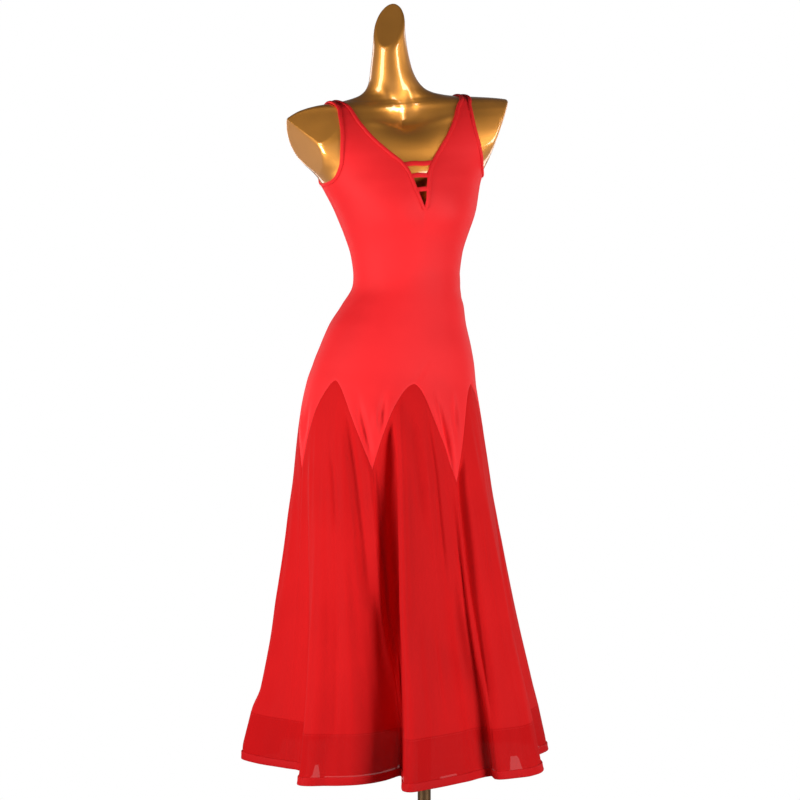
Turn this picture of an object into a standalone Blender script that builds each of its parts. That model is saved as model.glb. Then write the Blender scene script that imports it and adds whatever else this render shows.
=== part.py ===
"""A sleeveless ballroom dance dress worn by a headless, limbless dress form on a stand.

Metres, +Z up. The origin is the centre of the stand base's underside. The dress faces -Y, and
+X is the wearer's left. The figure and the dress are worked out upright and even on both sides,
about a centre line at x = 0, and set_pose then moves each point to the stance: hips pushed to
the wearer's right, shoulders a little lower on that side.

Angles go round the body from the front, in degrees: 0 is the front, 90 the wearer's left.
"""

import math

import bmesh
import bpy
import numpy as np
from mathutils import Vector

# ---- Heights -------------------------------------------------------------------------------
HEM_HEIGHT = 0.163
BAND_HEIGHT = 0.253  # seam between the godets and the hem band
FORM_BOTTOM = 0.55
HIP_HEIGHT = 0.879  # the godets' peaks, where the skirt leaves the body
ARCH_SPREAD_HEIGHT = 0.889  # above this the bodice's rows run level
FINE_ROW_HEIGHT = 0.912  # above this its columns are twice as wide
KEYHOLE_HEIGHT = 1.200
BACK_SCOOP_HEIGHT = 1.150
UNDERARM_HEIGHT = 1.250
NECK_CUT_HEIGHT = 1.538  # middle of the slanted cut at the top of the neck

# ---- Cloth ---------------------------------------------------------------------------------
CLOTH_GAP = 0.0010  # between the form and the dress
JERSEY = 0.0012
CHIFFON = 0.0010
BAND_CLOTH = 0.0012
BINDING = 0.0010
BINDING_WIDTH = 0.0055
BINDING_LIFT = 0.0011
TAPE = 0.0010
TAPE_WIDTH = 0.015
SEAM_HEIGHT_GAP = 0.0004  # half the gap where a seam runs across
SEAM_ANGLE_GAP = 0.04  # half the gap where a seam runs up and down, in degrees
SEAM_SHOULDER_GAP = 0.0012  # half the gap at the shoulder seam, as a share of the rise

GODET_COUNT = 6
GODET_ANGLE = 360 / GODET_COUNT
GODET_ARCH_POWER = 1.55
# Height of the bodice's point after each godet: godets 1 to 6, going round from the front.
SEAM_TIPS = np.array([0.702, 0.708, 0.710, 0.710, 0.710, 0.722])
# How far the godets' cloth is turned round the hip from even angles: angle, turn.
CLOTH_TURN = np.array([
    (-180, 0), (-150, -4), (-120, -3), (-90, 0), (-60, 6), (-30, 4), (0, 2),
    (30, -7), (60, -6), (90, 0), (120, 3), (150, 4), (180, 0),
], float)
TURN_END_HEIGHT = 0.940  # above this the cloth isn't turned
COLUMN_ANGLE = 5.0
GODET_ROWS = 9
BAND_ROWS = 2

# ---- The figure: level sections ------------------------------------------------------------
# height, half width, depth in front of the centre line, depth behind it, corner power
FIGURE = np.array([
    (0.550, 0.1300, 0.0780, 0.0980, 2.3),
    (0.620, 0.1420, 0.0880, 0.1080, 2.3),
    (0.720, 0.1540, 0.0970, 0.1170, 2.2),
    (0.800, 0.1545, 0.1020, 0.1220, 2.2),
    (0.868, 0.1568, 0.1054, 0.1240, 2.2),
    (0.905, 0.1508, 0.1035, 0.1195, 2.15),
    (0.940, 0.1410, 0.1000, 0.1120, 2.15),
    (0.980, 0.1283, 0.0930, 0.0980, 2.1),
    (1.018, 0.1135, 0.0860, 0.0880, 2.1),
    (1.055, 0.0993, 0.0810, 0.0810, 2.1),
    (1.074, 0.0984, 0.0800, 0.0790, 2.1),
    (1.110, 0.1024, 0.0860, 0.0800, 2.1),
    (1.150, 0.1140, 0.0980, 0.0840, 2.1),
    (1.186, 0.1270, 0.1100, 0.0880, 2.1),
    (1.223, 0.1400, 0.1160, 0.0910, 2.1),
    (1.250, 0.1510, 0.1130, 0.0925, 2.1),
    (1.262, 0.1580, 0.1100, 0.0930, 2.05),
    (1.275, 0.1690, 0.1060, 0.0930, 2.0),
    (1.290, 0.1880, 0.1000, 0.0920, 2.0),
    (1.310, 0.2180, 0.0930, 0.0890, 2.0),
    (1.335, 0.2430, 0.0830, 0.0820, 2.0),
    (1.355, 0.2480, 0.0730, 0.0730, 2.0),
    (1.370, 0.2410, 0.0640, 0.0640, 2.0),
    (1.380, 0.2300, 0.0580, 0.0590, 1.9),
    (1.388, 0.2100, 0.0540, 0.0560, 1.8),
    (1.3925, 0.1860, 0.0510, 0.0530, 1.7),
    (1.3965, 0.1520, 0.0480, 0.0510, 1.6),
    (1.4000, 0.1150, 0.0460, 0.0490, 1.6),
    (1.4045, 0.0880, 0.0445, 0.0475, 1.7),
    (1.4100, 0.0690, 0.0435, 0.0465, 1.8),
    (1.4190, 0.0550, 0.0420, 0.0450, 1.9),
    (1.4360, 0.0440, 0.0405, 0.0420, 2.0),
    (1.4620, 0.0370, 0.0370, 0.0380, 2.0),
    (1.5000, 0.0310, 0.0330, 0.0330, 2.0),
    (1.5300, 0.0287, 0.0310, 0.0310, 2.0),
    (1.6200, 0.0280, 0.0300, 0.0300, 2.0),
])
FIGURE_COLUMNS = 36
FIGURE_ROWS = [
    0.55, 0.62, 0.69, 0.76, 0.82, 0.86, 0.889, 0.912, 0.94, 0.98, 1.02, 1.055, 1.09, 1.12, 1.145,
    1.17, 1.20, 1.225, 1.238, 1.25, 1.262, 1.275, 1.29, 1.31, 1.335, 1.355, 1.37, 1.38, 1.388,
    1.3925, 1.3965, 1.40, 1.4045, 1.41, 1.419, 1.436, 1.462, 1.50, 1.54, 1.62,
]
RIDGE_SEARCH = (1.34, 1.45)  # heights between which a shoulder's top line lies

# The form's ends are cut flat: a point on each cut and the direction that it faces.
STUMP_CUT_POINT = Vector((0.190, 0, 1.330))
STUMP_CUT_SLANT = math.radians(22)
STUMP_CUT_FORWARD = 0.22  # how much the cut faces the front
STUMP_LOWEST = 1.249  # the cuts end above this
NECK_CUT_POINT = Vector((0, 0, NECK_CUT_HEIGHT))
NECK_CUT_SLANT = math.radians(55)
NECK_CUT_FACING = math.radians(-37)  # the way the cut looks, round from the front

# ---- The stance ----------------------------------------------------------------------------
# height, shift towards +X, rise for each metre towards +X
STANCE = np.array([
    (0.163, -0.0586, 0.00),
    (0.300, -0.0555, 0.00),
    (0.400, -0.0570, 0.00),
    (0.550, -0.0590, 0.00),
    (0.700, -0.0620, -0.05),
    (0.820, -0.0645, -0.05),
    (0.868, -0.0634, -0.05),
    (0.905, -0.0592, -0.04),
    (0.940, -0.0555, -0.03),
    (0.980, -0.0525, -0.01),
    (1.020, -0.0428, 0.00),
    (1.065, -0.0352, 0.01),
    (1.120, -0.0358, 0.02),
    (1.190, -0.0382, 0.035),
    (1.250, -0.0460, 0.050),
    (1.310, -0.0485, 0.060),
    (1.380, -0.0475, 0.070),
    (1.420, -0.0590, 0.050),
    (1.460, -0.0660, 0.020),
    (1.530, -0.0690, 0.000),
    (1.640, -0.0700, 0.000),
])

# ---- The skirt -----------------------------------------------------------------------------
SKIRT_RADIUS = 0.262  # the hem's mean radius
FLARE_POWER = 1.2  # how the skirt widens from the hip down
HIP_SPRING = 1.2  # how readily it starts to widen at the hips
HIP_SPRING_FADE = 6
FLUTE_POWER = 1.5  # how its flutes deepen
# One row for each turn of the hem: the cloth's angle at the hip, its angle and radius at the hem.
FLUTES = np.array([
    (-165, -163, 0.225),
    (-150, -152, 0.215),
    (-140, -143, 0.285),
    (-128, -130, 0.250),
    (-118, -120, 0.225),
    (-106, -107, 0.284),
    (-98, -98, 0.262),
    (-90, -86, 0.222),
    (-80, -73, 0.205),
    (-70, -56, 0.277),
    (-62, -47, 0.256),
    (-54, -40, 0.240),
    (-46, -33, 0.220),
    (-38, -25, 0.188),
    (-32, -17, 0.141),
    (-26, -9, 0.144),
    (-20, -14, 0.266),
    (-10, -4, 0.257),
    (2, 8, 0.239),
    (13, 20, 0.231),
    (23, 32, 0.232),
    (31, 29, 0.258),
    (38, 37, 0.280),
    (45, 42, 0.291),
    (54, 50, 0.293),
    (64, 62, 0.268),
    (74, 73, 0.262),
    (86, 86, 0.300),
    (98, 98, 0.278),
    (108, 106, 0.235),
    (118, 116, 0.215),
    (127, 128, 0.290),
    (140, 142, 0.262),
    (150, 153, 0.228),
    (160, 163, 0.232),
    (171, 174, 0.285),
    (183, 186, 0.262),
])

# ---- The bodice's upper edges, on one side -------------------------------------------------
STRAP_INNER = 0.116
STRAP_OUTER = 0.132
# The straps sit a little towards the wearer's right: height, shift towards +X.
STRAP_SHIFT = np.array([
    (1.286, 0.0000), (1.310, -0.0035), (1.335, -0.0060), (1.375, -0.0075), (1.395, -0.0020),
])
# height, distance from the centre line
NECK_FRONT = np.array([
    (KEYHOLE_HEIGHT, 0.0000),
    (1.210, 0.0035),
    (1.225, 0.0075),
    (1.250, 0.0135),
    (1.265, 0.0180),
    (1.281, 0.0270),
    (1.307, 0.0505),
    (1.333, 0.0730),
    (1.360, 0.0905),
    (1.385, 0.1030),
])
ARM_FRONT = np.array([
    (1.2535, 0.1480),
    (1.262, 0.1415),
    (1.280, 0.1370),
    (1.310, 0.1325),
    (1.350, 0.1275),
    (1.380, 0.1270),
])
ARM_BACK = np.array([
    (1.256, 0.1485),
    (1.264, 0.1510),
    (1.275, 0.1540),
    (1.290, 0.1500),
    (1.310, 0.1430),
    (1.350, 0.1390),
    (1.380, 0.1345),
])
SCOOP_HALF_WIDTH = 0.094
NECK_BACK_TOP = np.array([(1.310, 0.1010), (1.370, 0.1100)])

CROSS_STRAPS = (1.2325, 1.2575, 1.2790)  # heights of their middles
CROSS_STRAP_WIDTH = 0.0085
CROSS_STRAP_COLUMNS = 6
CROSS_STRAP_END_GAP = 0.0006

# Heights of the bodice's level rows, and steps of the rise over the shoulder.
FRONT_ROWS = [
    0.94, 0.98, 1.02, 1.055, 1.09, 1.12, 1.145, 1.17, 1.185, 1.20, 1.2125, 1.225, 1.238, 1.25,
]
BACK_ROWS = [
    0.94, 0.98, 1.02, 1.055, 1.09, 1.12, 1.15, 1.1505, 1.152, 1.156, 1.163, 1.173, 1.185, 1.20,
    1.225, 1.238, 1.25,
]
ARCH_ROWS = 3
RISE_STEPS = [
    0.006, 0.015, 0.03, 0.055, 0.09, 0.15, 0.22, 0.28, 0.35, 0.44, 0.55, 0.66, 0.76, 0.85, 0.93,
    1.0,
]
SHARP_ANGLE = math.radians(40)
MOST_MITRE = 2.0  # how much longer than its width or thickness a mitred corner may be

# ---- The stand -----------------------------------------------------------------------------
POLE_RADIUS = 0.0125
BORE_RADIUS = 0.0128
BASE_RADIUS = 0.180
BASE_HEIGHT = 0.012
BOSS_RADIUS = 0.027
BOSS_HEIGHT = 0.045
SOCKET_RADIUS = 0.030
SOCKET_FLANGE = 0.046  # its radius
SOCKET_HEIGHT = 0.060
SOCKET_FLANGE_THICKNESS = 0.006
SOCKET_ROOF = 0.008  # above the pole's top
STAND_EDGE = 0.003  # the chamfer of the turned pieces
TOUCH_GAP = 0.0003
TURNED_STEPS = 28


# ---- Small tools ---------------------------------------------------------------------------
def smooth_value(table, column, at):
    """One column of a table as a smooth curve of the first, which never overshoots."""
    x, y = table[:, 0], table[:, column]
    step = np.diff(x)
    slope = np.diff(y) / step
    tangent = np.empty_like(y)
    tangent[0], tangent[-1] = slope[0], slope[-1]
    before, after = slope[:-1], slope[1:]
    same_way = before * after > 0
    weight_a = 2 * step[1:] + step[:-1]
    weight_b = step[1:] + 2 * step[:-1]
    safe_before = np.where(same_way, before, 1)
    safe_after = np.where(same_way, after, 1)
    harmonic = (weight_a + weight_b) / (weight_a / safe_before + weight_b / safe_after)
    tangent[1:-1] = np.where(same_way, harmonic, 0)
    at = np.clip(at, x[0], x[-1])
    i = np.clip(np.searchsorted(x, at, side="right") - 1, 0, len(x) - 2)
    t = (at - x[i]) / step[i]
    return (
        y[i] * (1 + 2 * t) * (1 - t) ** 2
        + tangent[i] * step[i] * t * (1 - t) ** 2
        + y[i + 1] * t * t * (3 - 2 * t)
        + tangent[i + 1] * step[i] * t * t * (t - 1)
    )


def unit(vectors):
    return vectors / np.linalg.norm(vectors, axis=-1, keepdims=True)


def stacked(x, y, z):
    return np.stack(np.broadcast_arrays(x, y, z), axis=-1).astype(float)


def set_pose(points):
    """Moves points of the even, upright figure to the stance."""
    x, y, z = points[..., 0], points[..., 1], points[..., 2]
    shift = smooth_value(STANCE, 1, z)
    tilt = smooth_value(STANCE, 2, z)
    return stacked(x + shift, y, z + tilt * x)


# ---- The figure's surface ------------------------------------------------------------------
def section(height):
    """Half width, front depth, back depth and corner power of the level section there."""
    return [smooth_value(FIGURE, column, height) for column in (1, 2, 3, 4)]


def figure_level(height, angle):
    """The point of the figure's skin at a height, angle degrees round from the front."""
    half_width, front, back, power = section(height)
    turned_share = np.clip((TURN_END_HEIGHT - height) / (TURN_END_HEIGHT - HIP_HEIGHT), 0, 1)
    cloth_turn = smooth_value(CLOTH_TURN, 1, (angle + 180) % 360 - 180)
    turn = np.radians(angle + cloth_turn * turned_share)
    side, ahead = np.sin(turn), np.cos(turn)
    depth = np.where(ahead > 0, front, back)
    x = half_width * np.sign(side) * np.abs(side) ** (2 / power)
    y = -depth * np.sign(ahead) * np.abs(ahead) ** (2 / power)
    return stacked(x, y, height)


def figure_field(points):
    """0 on the figure's skin, above it outside."""
    x, y, z = points[..., 0], points[..., 1], points[..., 2]
    half_width, front, back, power = section(z)
    depth = np.where(y < 0, front, back)
    return np.abs(x / half_width) ** power + np.abs(y / depth) ** power - 1


def figure_slope(points):
    step = 2e-4
    slope = []
    for axis in np.eye(3):
        ahead = figure_field(points + axis * step)
        behind = figure_field(points - axis * step)
        slope.append((ahead - behind) / (2 * step))
    return np.stack(slope, axis=-1)


def figure_normal(points):
    return unit(figure_slope(points))


def onto_figure(points):
    """Moves points that lie near the figure's skin onto it."""
    for _ in range(4):
        slope = figure_slope(points)
        miss = figure_field(points)[..., None]
        points = points - slope * miss / (slope**2).sum(-1, keepdims=True)
    return points


def lifted(points, lift):
    return points + figure_normal(points) * lift


def ridge_height(x):
    """Height of the shoulder's top line, x metres from the centre line."""
    heights = np.linspace(*RIDGE_SEARCH, 600)
    half_width = section(heights)[0]
    return np.interp(np.abs(x), half_width[::-1], heights[::-1])


def over_shoulder(x, rise, front):
    """The figure's skin x metres from the centre line, rise of the way up from the underarm."""
    height = UNDERARM_HEIGHT + (ridge_height(x) - UNDERARM_HEIGHT) * np.sin(rise * np.pi / 2)
    half_width, front_depth, back_depth, power = section(height)
    left_over = np.clip(1 - np.abs(x / half_width) ** power, 0, 1) ** (1 / power)
    y = -front_depth * left_over if front else back_depth * left_over
    return stacked(x, y, height)


# ---- The dress's surface -------------------------------------------------------------------
def hem_curve():
    """The hem's turns as rows of cloth angle, x and y, with a few rows more at both ends."""
    turn = np.radians(FLUTES[:, 1])
    rows = np.stack([FLUTES[:, 0], FLUTES[:, 2] * np.sin(turn), -FLUTES[:, 2] * np.cos(turn)], 1)
    full_turn = np.array([360, 0, 0])
    return np.concatenate([rows[-3:] - full_turn, rows, rows[:3] + full_turn])


def hem_point(angle):
    """Where the cloth of this angle reaches the hem, as x and y: a curve through the turns."""
    rows = hem_curve()
    angle = (np.asarray(angle, float) + 180) % 360 - 180
    angle = np.where(angle < rows[2, 0], angle + 360, angle)
    i = np.clip(np.searchsorted(rows[:, 0], angle, side="right") - 1, 1, len(rows) - 3)
    step = rows[i + 1, 0] - rows[i, 0]
    t = ((angle - rows[i, 0]) / step)[..., None]
    here, ahead = rows[i, 1:], rows[i + 1, 1:]
    leave = (ahead - rows[i - 1, 1:]) / (rows[i + 1, :1] - rows[i - 1, :1]) * step[..., None]
    arrive = (rows[i + 2, 1:] - here) / (rows[i + 2, :1] - rows[i, :1]) * step[..., None]
    return (
        here * (1 + 2 * t) * (1 - t) ** 2
        + leave * t * (1 - t) ** 2
        + ahead * t * t * (3 - 2 * t)
        + arrive * t * t * (t - 1)
    )


def dress_level(height, angle):
    """The dress's inner face at a height, for cloth that hangs from this angle of the hip."""
    height, angle = np.broadcast_arrays(np.asarray(height, float), np.asarray(angle, float))
    skin = lifted(figure_level(np.maximum(height, HIP_HEIGHT), angle), CLOTH_GAP)
    fall = np.clip((HIP_HEIGHT - height) / (HIP_HEIGHT - HEM_HEIGHT), 0, None)
    turn = np.radians(angle)
    outward = np.stack([np.sin(turn), -np.cos(turn)], axis=-1)
    even_hem = outward * SKIRT_RADIUS
    spring = HIP_SPRING * fall * np.clip(1 - fall, 0, None) ** HIP_SPRING_FADE
    flare = (fall**FLARE_POWER + spring)[..., None]
    flute = (fall**FLUTE_POWER)[..., None]
    plan = skin[..., :2] * (1 - flare) + even_hem * flare
    plan = plan + (hem_point(angle) - even_hem) * flute
    return stacked(plan[..., 0], plan[..., 1], np.minimum(height, skin[..., 2]))


def dress_normal(height, angle):
    """Outward, square to the dress's surface, and longer where the next columns fold sharply."""
    height_step = 5e-4
    here = dress_level(height, angle)
    before = here - dress_level(height, angle - COLUMN_ANGLE)
    after = dress_level(height, angle + COLUMN_ANGLE) - here
    around = (unit(before) + unit(after)) / 2
    up = dress_level(height + height_step, angle) - dress_level(height - height_step, angle)
    length = np.linalg.norm(around, axis=-1, keepdims=True)
    return unit(np.cross(around, up)) / np.maximum(length, 1 / MOST_MITRE)


def arch_height(angle):
    """The seam between the bodice and the godets: a pointed arch over each godet."""
    from_peak = (np.asarray(angle) + GODET_ANGLE / 2) % GODET_ANGLE - GODET_ANGLE / 2
    share = np.abs(from_peak) / (GODET_ANGLE / 2)
    tip = SEAM_TIPS[np.floor(np.asarray(angle) / GODET_ANGLE).astype(int) % GODET_COUNT]
    return HIP_HEIGHT - (HIP_HEIGHT - tip) * share**GODET_ARCH_POWER


# ---- Meshes --------------------------------------------------------------------------------
def make_material(name, colour, roughness, metallic=0.0):
    material = bpy.data.materials.new(name)
    material.use_nodes = True
    shader = material.node_tree.nodes["Principled BSDF"]
    shader.inputs["Base Color"].default_value = (*colour, 1)
    shader.inputs["Roughness"].default_value = roughness
    shader.inputs["Metallic"].default_value = metallic
    return material


def make_object(name, points, faces, material):
    mesh = bpy.data.meshes.new(name)
    mesh.from_pydata([tuple(map(float, p)) for p in points], [], [tuple(map(int, f)) for f in faces])
    mesh.materials.append(material)
    mesh.shade_smooth()
    mesh.set_sharp_from_angle(angle=SHARP_ANGLE)
    obj = bpy.data.objects.new(name, mesh)
    bpy.context.scene.collection.objects.link(obj)
    return obj


def welded(points, normals, faces):
    """Makes points that lie in one place one point, and drops the sides that vanish with them."""
    _, first, index = np.unique(
        np.round(points, 6), axis=0, return_index=True, return_inverse=True
    )
    index = index.reshape(-1)
    kept = []
    for face in faces:
        corners = []
        for corner in index[list(face)]:
            if corner not in corners:
                corners.append(corner)
        if len(corners) > 2:
            kept.append(corners)
    return points[first], normals[first], kept


def make_wall(name, points, normals, faces, thickness, material):
    """A sheet's points, thickened outward along their normals into one closed wall."""
    points, normals, faces = welded(points, normals, faces)
    count = len(points)
    outer = [list(face) for face in faces]
    # Both layers start a face at the same corner, so that they split along the same diagonal.
    inner = [
        [corner + count for corner in (face[0], *reversed(face[1:]))] for face in faces
    ]
    sides = {(face[i - 1], face[i]) for face in faces for i in range(len(face))}
    rim = [
        (b, a, a + count, b + count) for a, b in sorted(sides) if (b, a) not in sides
    ]
    all_points = set_pose(np.concatenate([points + normals * thickness, points]))
    return make_object(name, all_points, outer + inner + rim, material)


def grid_faces(rows, columns, wrap=False, start=0):
    """Faces of a grid whose rows climb and whose columns go round to the left, facing out."""
    faces = []
    for row in range(rows - 1):
        for column in range(columns if wrap else columns - 1):
            a = start + row * columns + column
            b = start + row * columns + (column + 1) % columns
            faces.append((a, b, b + columns, a + columns))
    return faces


def blending_faces(fine_start, fine_count, coarse_start):
    """Faces between a row and the row above it, which has half as many columns."""
    faces = []
    for pair in range((fine_count - 1) // 2):
        a = fine_start + 2 * pair
        b = coarse_start + pair
        faces += [(a, a + 1, b), (a + 1, b + 1, b), (a + 1, a + 2, b + 1)]
    return faces


def turned(name, profile, material):
    """A closed outline of (radius, height) points, anticlockwise, turned about the Z axis."""
    turns = np.radians(np.arange(TURNED_STEPS) * 360 / TURNED_STEPS)
    points, rings = [], []
    for radius, height in profile:
        if radius == 0:
            rings.append([len(points)] * TURNED_STEPS)
            points.append((0, 0, height))
            continue
        rings.append(list(range(len(points), len(points) + TURNED_STEPS)))
        for turn in turns:
            points.append((radius * math.cos(turn), radius * math.sin(turn), height))
    faces = []
    for lower, upper in zip(rings, rings[1:]):
        for i in range(TURNED_STEPS):
            k = (i + 1) % TURNED_STEPS
            corners = list(dict.fromkeys((lower[i], lower[k], upper[k], upper[i])))
            if len(corners) > 2:
                faces.append(corners)
    return make_object(name, points, faces, material)


# ---- The bodice ----------------------------------------------------------------------------
def edge_table(rows, top_x):
    """An upper edge's rows, with its end on the shoulder's top line added."""
    return np.concatenate([rows, [(float(ridge_height(top_x)), top_x)]])


def neck_edge(front):
    if front:
        return edge_table(NECK_FRONT, STRAP_INNER)
    heights = np.linspace(BACK_SCOOP_HEIGHT, UNDERARM_HEIGHT, 12)
    depth = 1 - (heights - BACK_SCOOP_HEIGHT) / (UNDERARM_HEIGHT - BACK_SCOOP_HEIGHT)
    scoop = np.stack([heights, SCOOP_HALF_WIDTH * np.sqrt(1 - depth**2)], axis=1)
    return edge_table(np.concatenate([scoop, NECK_BACK_TOP]), STRAP_INNER)


def arm_edge(front):
    side_x = section(UNDERARM_HEIGHT)[0] * np.sin(np.radians(90 - SEAM_ANGLE_GAP))
    start = np.array([(UNDERARM_HEIGHT, side_x)])
    return edge_table(np.concatenate([start, ARM_FRONT if front else ARM_BACK]), STRAP_OUTER)


def edge_x(edge, rise, side):
    """The edge's distance from the centre line where it has risen this much over the shoulder."""
    heights = np.linspace(UNDERARM_HEIGHT, edge[-1, 0], 400)
    x = smooth_value(edge, 1, heights) + side * smooth_value(STRAP_SHIFT, 1, heights)
    share = (heights - UNDERARM_HEIGHT) / (ridge_height(x) - UNDERARM_HEIGHT)
    rises = np.arcsin(np.clip(share, 0, 1)) * 2 / np.pi
    return np.interp(rise, rises, x)


def gap_half_width(height, front):
    """Half the neckline's width at a height up to the underarm."""
    edge = neck_edge(front)
    return np.where(height <= edge[0, 0], 0.0, smooth_value(edge, 1, height))


def level_row(height, angles, front):
    """A row of the bodice above its arches, with a gap at the middle where the neckline is."""
    base = figure_level(height, angles)
    half_width = section(height)[0]
    gap = gap_half_width(height, front)
    x = gap + (half_width - gap) * np.abs(base[:, 0]) / half_width
    _, front_depth, back_depth, power = section(height)
    depth = -front_depth if front else back_depth
    y = depth * np.clip(1 - (x / half_width) ** power, 0, 1) ** (1 / power)
    return stacked(x, y, height)


def rise_row(rise, spread, front, side):
    """A row of the bodice over the chest or the shoulder blade, from neckline to armhole."""
    top = 1 - SEAM_SHOULDER_GAP
    inner = edge_x(neck_edge(front), rise, side)
    outer = edge_x(arm_edge(front), rise, side)
    return over_shoulder(inner * (1 - spread) + outer * spread, min(rise, top), front)


def half_bodice(front, side):
    """One side's rows above the arches, from the middle out, on the figure.

    side is 1 on the wearer's left and -1 on the right, whose rows come mirrored to the left.
    """
    level_heights = FRONT_ROWS if front else BACK_ROWS
    count = round(90 / (2 * COLUMN_ANGLE)) + 1
    angles = np.linspace(0, 90, count)
    angles[-1] -= SEAM_ANGLE_GAP
    around = angles if front else 180 - angles
    rows = [level_row(height, around, front) for height in level_heights]
    level_spread = rows[0][:, 0] / rows[0][-1, 0]
    for rise in RISE_STEPS:
        spread = level_spread * (1 - rise) + np.linspace(0, 1, count) * rise
        rows.append(rise_row(rise, spread, front, side))
    return np.array(rows)


def make_bodice(name, front, material):
    """One panel: pointed arches at its lower edge, and two halves that part at the neckline."""
    middle = 0.0 if front else 180.0
    reach = 90 - SEAM_ANGLE_GAP
    angles = middle + np.clip(np.arange(-90, 90 + COLUMN_ANGLE / 2, COLUMN_ANGLE), -reach, reach)
    lower_rows = []
    for step in range(ARCH_ROWS + 1):
        share = step / ARCH_ROWS
        low = arch_height(middle + np.round(angles - middle)) + SEAM_HEIGHT_GAP
        lower_rows.append(low * (1 - share) + ARCH_SPREAD_HEIGHT * share)
    lower_rows.append(np.full(len(angles), FINE_ROW_HEIGHT))
    lower_heights = np.array(lower_rows)
    lower_angles = np.broadcast_to(angles, lower_heights.shape)
    points = dress_level(lower_heights, lower_angles).reshape(-1, 3)
    normals = dress_normal(lower_heights, lower_angles).reshape(-1, 3)
    columns = len(angles)
    faces = grid_faces(len(lower_rows), columns)

    left = half_bodice(front, 1)
    right = half_bodice(front, -1) * np.array([-1, 1, 1])
    sides = (right[:, ::-1], left) if front else (left[:, ::-1], right)
    half_columns = left.shape[1]
    for number, side in enumerate(sides):
        start = len(points)
        on_skin = side.reshape(-1, 3)
        points = np.concatenate([points, lifted(on_skin, CLOTH_GAP)])
        normals = np.concatenate([normals, figure_normal(on_skin)])
        faces += grid_faces(len(side), half_columns, start=start)
        fine_start = (len(lower_rows) - 1) * columns + number * (columns - 1) // 2
        faces += blending_faces(fine_start, (columns + 1) // 2, start)
    return make_wall(name, points, normals, faces, JERSEY, material)


# ---- Trim on the bodice --------------------------------------------------------------------
def mitred(line, closed):
    """For each point of a line its direction, and how much longer its mitre is than its width."""
    if closed:
        before = unit(line - np.roll(line, 1, axis=0))
        after = unit(np.roll(line, -1, axis=0) - line)
    else:
        step = unit(np.diff(line, axis=0))
        before = np.concatenate([step[:1], step])
        after = np.concatenate([step, step[-1:]])
    mean = (before + after) / 2
    length = np.linalg.norm(mean, axis=1, keepdims=True)
    return mean / length, 1 / np.maximum(length, 1 / MOST_MITRE)


def make_binding(name, line, closed, material):
    """A strip over the cloth along its edge, to the left of the line when seen from outside."""
    ahead, mitre = mitred(line, closed)
    inward = unit(np.cross(figure_normal(line), ahead))
    far = onto_figure(line + inward * BINDING_WIDTH * mitre)
    on_skin = np.concatenate([line, far])
    faces = grid_faces(2, len(line), wrap=closed)
    lift = CLOTH_GAP + JERSEY + BINDING_LIFT
    points = lifted(on_skin, lift)
    return make_wall(name, points, figure_normal(on_skin), faces, BINDING, material)


def make_neck_binding(name, front, material):
    """From one shoulder seam down to the neckline's lowest point and up to the other."""
    lowest = KEYHOLE_HEIGHT if front else BACK_SCOOP_HEIGHT
    left, right = [
        half[half[:, 0, 2] >= lowest, 0]
        for half in (half_bodice(front, 1), half_bodice(front, -1))
    ]
    right = right * np.array([-1, 1, 1])
    if front:
        line = np.concatenate([left[:0:-1], right])
    else:
        line = np.concatenate([right[::-1], left[1:]])
    make_binding(name, line, False, material)


def make_armhole_binding(name, side, material):
    """side is 1 on the wearer's left and -1 on the right."""
    edges = []
    for front in (True, False):
        half = half_bodice(front, side)
        edges.append(half[half[:, 0, 2] >= UNDERARM_HEIGHT - 1e-6, -1])
    loop = np.concatenate([edges[0][:-1], edges[1][:0:-1]]) * np.array([side, 1, 1])
    if side < 0:
        loop = loop[::-1]
    make_binding(name, loop, True, material)


def make_cross_strap(name, height, material):
    """A strap across the keyhole, from edge to edge, in line with the bodice's cloth."""
    rows = []
    for z in (height - CROSS_STRAP_WIDTH / 2, height, height + CROSS_STRAP_WIDTH / 2):
        reach = float(smooth_value(neck_edge(True), 1, z)) - CROSS_STRAP_END_GAP
        x = np.linspace(-reach, reach, CROSS_STRAP_COLUMNS + 1)
        half_width, front_depth, _, power = section(z)
        y = -front_depth * (1 - np.abs(x / half_width) ** power) ** (1 / power)
        rows.append(stacked(x, y, z))
    on_skin = np.concatenate(rows)
    faces = grid_faces(3, CROSS_STRAP_COLUMNS + 1)
    points = lifted(on_skin, CLOTH_GAP)
    return make_wall(name, points, figure_normal(on_skin), faces, JERSEY, material)


# ---- The skirt -----------------------------------------------------------------------------
def godet_angles(number):
    """The column angles of one godet, which touch its neighbours' but for the seam's gap."""
    reach = GODET_ANGLE / 2
    middle = (number - 1) * GODET_ANGLE
    inside = reach - SEAM_ANGLE_GAP
    return middle + np.clip(np.arange(-reach, reach + 1, COLUMN_ANGLE), -inside, inside)


def make_skirt_panel(name, number, rows, top, bottom, thickness, material):
    """A panel of one godet's width between two heights, each a number or one per column."""
    angles = godet_angles(number)
    share = np.linspace(0, 1, rows + 1)[:, None]
    heights = bottom * (1 - share) + top * share
    heights = np.broadcast_to(heights, (rows + 1, len(angles)))
    around = np.broadcast_to(angles, heights.shape)
    points = dress_level(heights, around).reshape(-1, 3)
    normals = dress_normal(heights, around).reshape(-1, 3)
    faces = grid_faces(rows + 1, len(angles))
    return make_wall(name, points, normals, faces, thickness, material)


def make_godet(number, material):
    nominal = np.round(godet_angles(number))
    top = arch_height(nominal) - SEAM_HEIGHT_GAP
    bottom = BAND_HEIGHT + SEAM_HEIGHT_GAP / 2
    make_skirt_panel(f"godet_{number}", number, GODET_ROWS, top, bottom, CHIFFON, material)


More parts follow.
